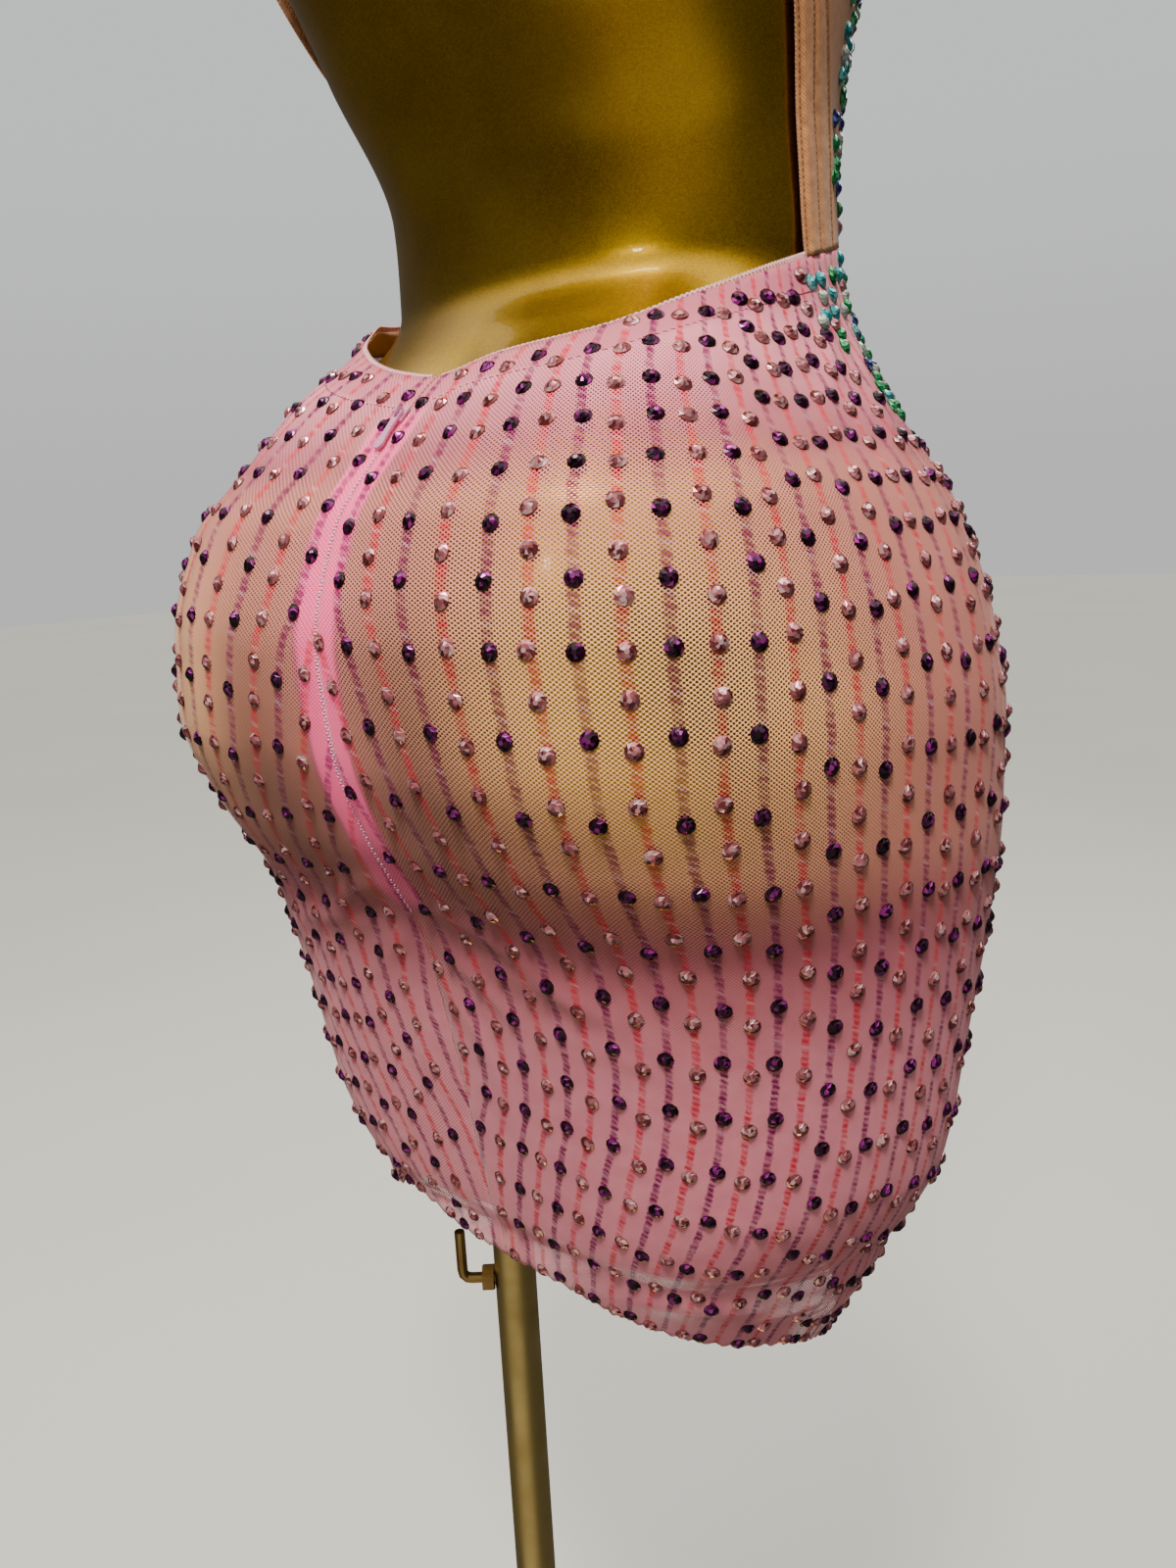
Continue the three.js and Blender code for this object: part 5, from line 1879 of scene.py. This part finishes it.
@dataclass
class Bodice:
    """Open-backed nude bodice: front, sides, boned casings and straps."""

    body: Body
    seam: float = 0.3
    outside: float = -0.35
    thickness: float = 0.5

    MIDDLE_LEVEL = 180
    HEIGHT = 210
    ROUNDS = 8
    # Start, end, eased edge and height of each raised channel across the casing
    CHANNELS = ((2.2, 9.6, 1.6, 1.05), (11.2, 18.4, 1.4, 0.6))
    CASING_INSIDE = 0.3
    STITCH_INSIDE = 0.2
    STITCH_ROWS = (1.4, 10.4, 19.2)
    STITCHES = np.linspace(0.01, 0.99, 92)
    STRAP_SIZE = (6, 120)
    STRAP_WIDTH = 12
    STRAP_WALL = 1.1
    STRAP_STEP = 0.004

    def front(self) -> None:
        """The front panel up to its neckline."""

        def place(across: Array, along: Array) -> tuple[Array, Array]:
            """Angle and level for a share across and along the cut."""
            angle = FRONT_SEAM + (360 - 2 * FRONT_SEAM) * across
            low = self.body.top_edge(angle) + self.seam
            level = low + (self.body.neckline(np.abs(wrap(angle))) - low) * along
            inset = self.seam / 2 * (1 - 2 * across)
            return self.body.beyond(angle, level, inset), level

        surface = self.body.at(self.outside, of_bodice=True)
        sheet = Sheet("bodice_front_cloth", place, surface, 150, 90, self.thickness)
        piece = sheet.make(Finish.NUDE_MESH, "bodice_mesh", "bodice_front")

    def strip(self, side: int, start: float, end: float | None) -> Map:
        """A strip of the bodice's side between two distances from its open back edge.

        Args:
            side: 1 on the right and -1 on the left.
            start: Distance of its back edge in millimetres.
            end: Distance of its front edge, or None for the seam with the front.

        Returns:
            The place function of a sheet.
        """
        last_wing = WING[-1][1]

        def place(across: Array, along: Array) -> tuple[Array, Array]:
            """Angle and level for a share across and along the cut."""
            share = across if side > 0 else 1 - across
            level = self.MIDDLE_LEVEL + self.HEIGHT * along
            angle = level
            for _ in range(self.ROUNDS):
                back = self.body.wing(level)
                first = self.body.beyond(back, level, start)
                if end is None:
                    other = self.body.beyond(0 * level + FRONT_SEAM, level, -self.seam / 2)
                else:
                    other = self.body.beyond(back, level, end)
                angle = first + (other - first) * share
                forward = (angle - last_wing) / (FRONT_SEAM - last_wing)
                top = BODICE_TOP_BACK + (BODICE_TOP_SIDE - BODICE_TOP_BACK) * forward
                low = self.body.top_edge(side * angle) + self.seam
                level = low + (top - low) * along
            return side * angle, level

        return place

    def sides(self) -> None:
        """Side panels and the boned casings along the open back."""
        surface = self.body.at(self.outside, of_bodice=True)
        for side, word in ((1, "right"), (-1, "left")):
            place = self.strip(side, CASING_WIDTH + self.seam, None)
            sheet = Sheet(f"bodice_side_cloth_{word}", place, surface, 40, 90, self.thickness)
            piece = sheet.make(Finish.NUDE_MESH, "bodice_mesh", f"bodice_side_{word}")
            self.casing(side, word)

    def casing(self, side: int, word: str) -> None:
        """A folded casing with two stitched channels, one of them boned."""
        place = self.strip(side, 0, CASING_WIDTH)
        columns, rows = 40, 110

        def channels(share: Array) -> Array:
            """Height of the channels across the casing."""
            distance = share * CASING_WIDTH
            return sum(
                height * smooth((distance - start) / edge) * smooth((end - distance) / edge)
                for start, end, edge, height in self.CHANNELS
            )

        share = np.tile(np.arange(columns + 1) / columns, rows + 1)
        raised = channels(share if side > 0 else 1 - share)

        def surface(angle: Array, level: Array) -> Array:
            """Points of the casing's face, raised at its channels."""
            return self.body.bodice(angle, level, self.outside - self.CASING_INSIDE + raised)

        sheet = Sheet(f"side_casing_cloth_{word}", place, surface, columns, rows, 0.8)
        piece = sheet.make(Finish.CASING, "bodice_mesh", f"side_casing_{word}")
        self.channel_stitches(side, word, place)

    def channel_stitches(self, side: int, word: str, place: Map) -> None:
        """Rows of stitches beside the casing's channels."""
        rows = []
        for distance in self.STITCH_ROWS:
            share = distance / CASING_WIDTH
            rows.append(place(0 * self.STITCHES + (share if side > 0 else 1 - share), self.STITCHES))
        angle, level = np.concatenate(rows, axis=1)
        surface = self.body.at(self.outside - self.STITCH_INSIDE, of_bodice=True)
        name = f"casing_stitches_{word}"
        mesh = copies(name, pill_shape(1.9, 0.6, 0.5), Frames.on(surface, angle, level))
        finished(name, mesh, Finish.NUDE_THREAD)

    def strap(self, side: int, word: str) -> None:
        """One strap over the shoulder along its middle line, square to it."""
        columns, rows = self.STRAP_SIZE
        width = self.STRAP_WIDTH
        knots = np.array(STRAP_ROUTE, float)
        steps = np.concatenate([[0], np.cumsum(np.linalg.norm(np.diff(knots, axis=0), axis=1))])
        route = [Curve(steps, knots[:, i]) for i in (0, 1)]

        def middle(share: Array) -> tuple[Array, Array]:
            """Angle and level along the strap's route."""
            return side * route[0](share * steps[-1]), route[1](share * steps[-1])

        share = np.linspace(0, 1, rows + 1)
        angle, level = middle(share)
        zero = 0 * share
        centre = self.body.bodice(angle, level, zero)
        ahead = self.body.bodice(*middle(np.minimum(1, share + self.STRAP_STEP)), zero)
        behind = self.body.bodice(*middle(np.maximum(0, share - self.STRAP_STEP)), zero)
        normal = self.body.normal(angle, level)
        across = unit(np.cross(ahead - behind, normal))
        across[[0, -1], 2] = 0
        across = unit(across)

        name = f"shoulder_strap_tape_{word}"
        mesh, spot = unit_grid(name, columns, rows)
        row = np.rint(spot[:, 1] * rows).astype(int)
        offset = (spot[:, 0] - 0.5) * width
        points = centre[row] + across[row] * offset[:, None] + normal[row] * 0.1
        length = np.linalg.norm(np.diff(centre, axis=0), axis=-1).sum()
        lay(mesh, points, spot * np.array([width, length]))
        piece = finished(name, mesh, Finish.CASING)
        thicken(piece, self.STRAP_WALL, even=False)
        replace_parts(piece, f"shoulder_strap_{word}")

    def make(self) -> None:
        """Builds the bodice's pieces."""
        self.front()
        self.sides()
        for side, word in ((1, "right"), (-1, "left")):
            self.strap(side, word)


def corners(box: tuple[Vector, Vector]) -> list[list[float]]:
    """A box as plain lists of numbers."""
    return [list(corner) for corner in box]


def main() -> None:
    """Builds the scene: frame, camera, studio, form, stand and dress."""
    logging.basicConfig(level=logging.INFO, format="%(message)s")
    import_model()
    cad_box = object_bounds()
    Camera().make()
    Studio().make()
    body = Body()
    print_ = Print()
    Form(body).make()
    Stand().make()
    Skirt(body, print_).make()
    Bodice(body).make()
    for node in ("zip_slider", "zip_pull_tab"):
        keep_solid(node, Finish.PULL, 0.25)
    Stones(body, print_).make()
    {"cad_box": corners(cad_box), "visual_box": corners(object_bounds())}


if __name__ == "__main__":
    main()
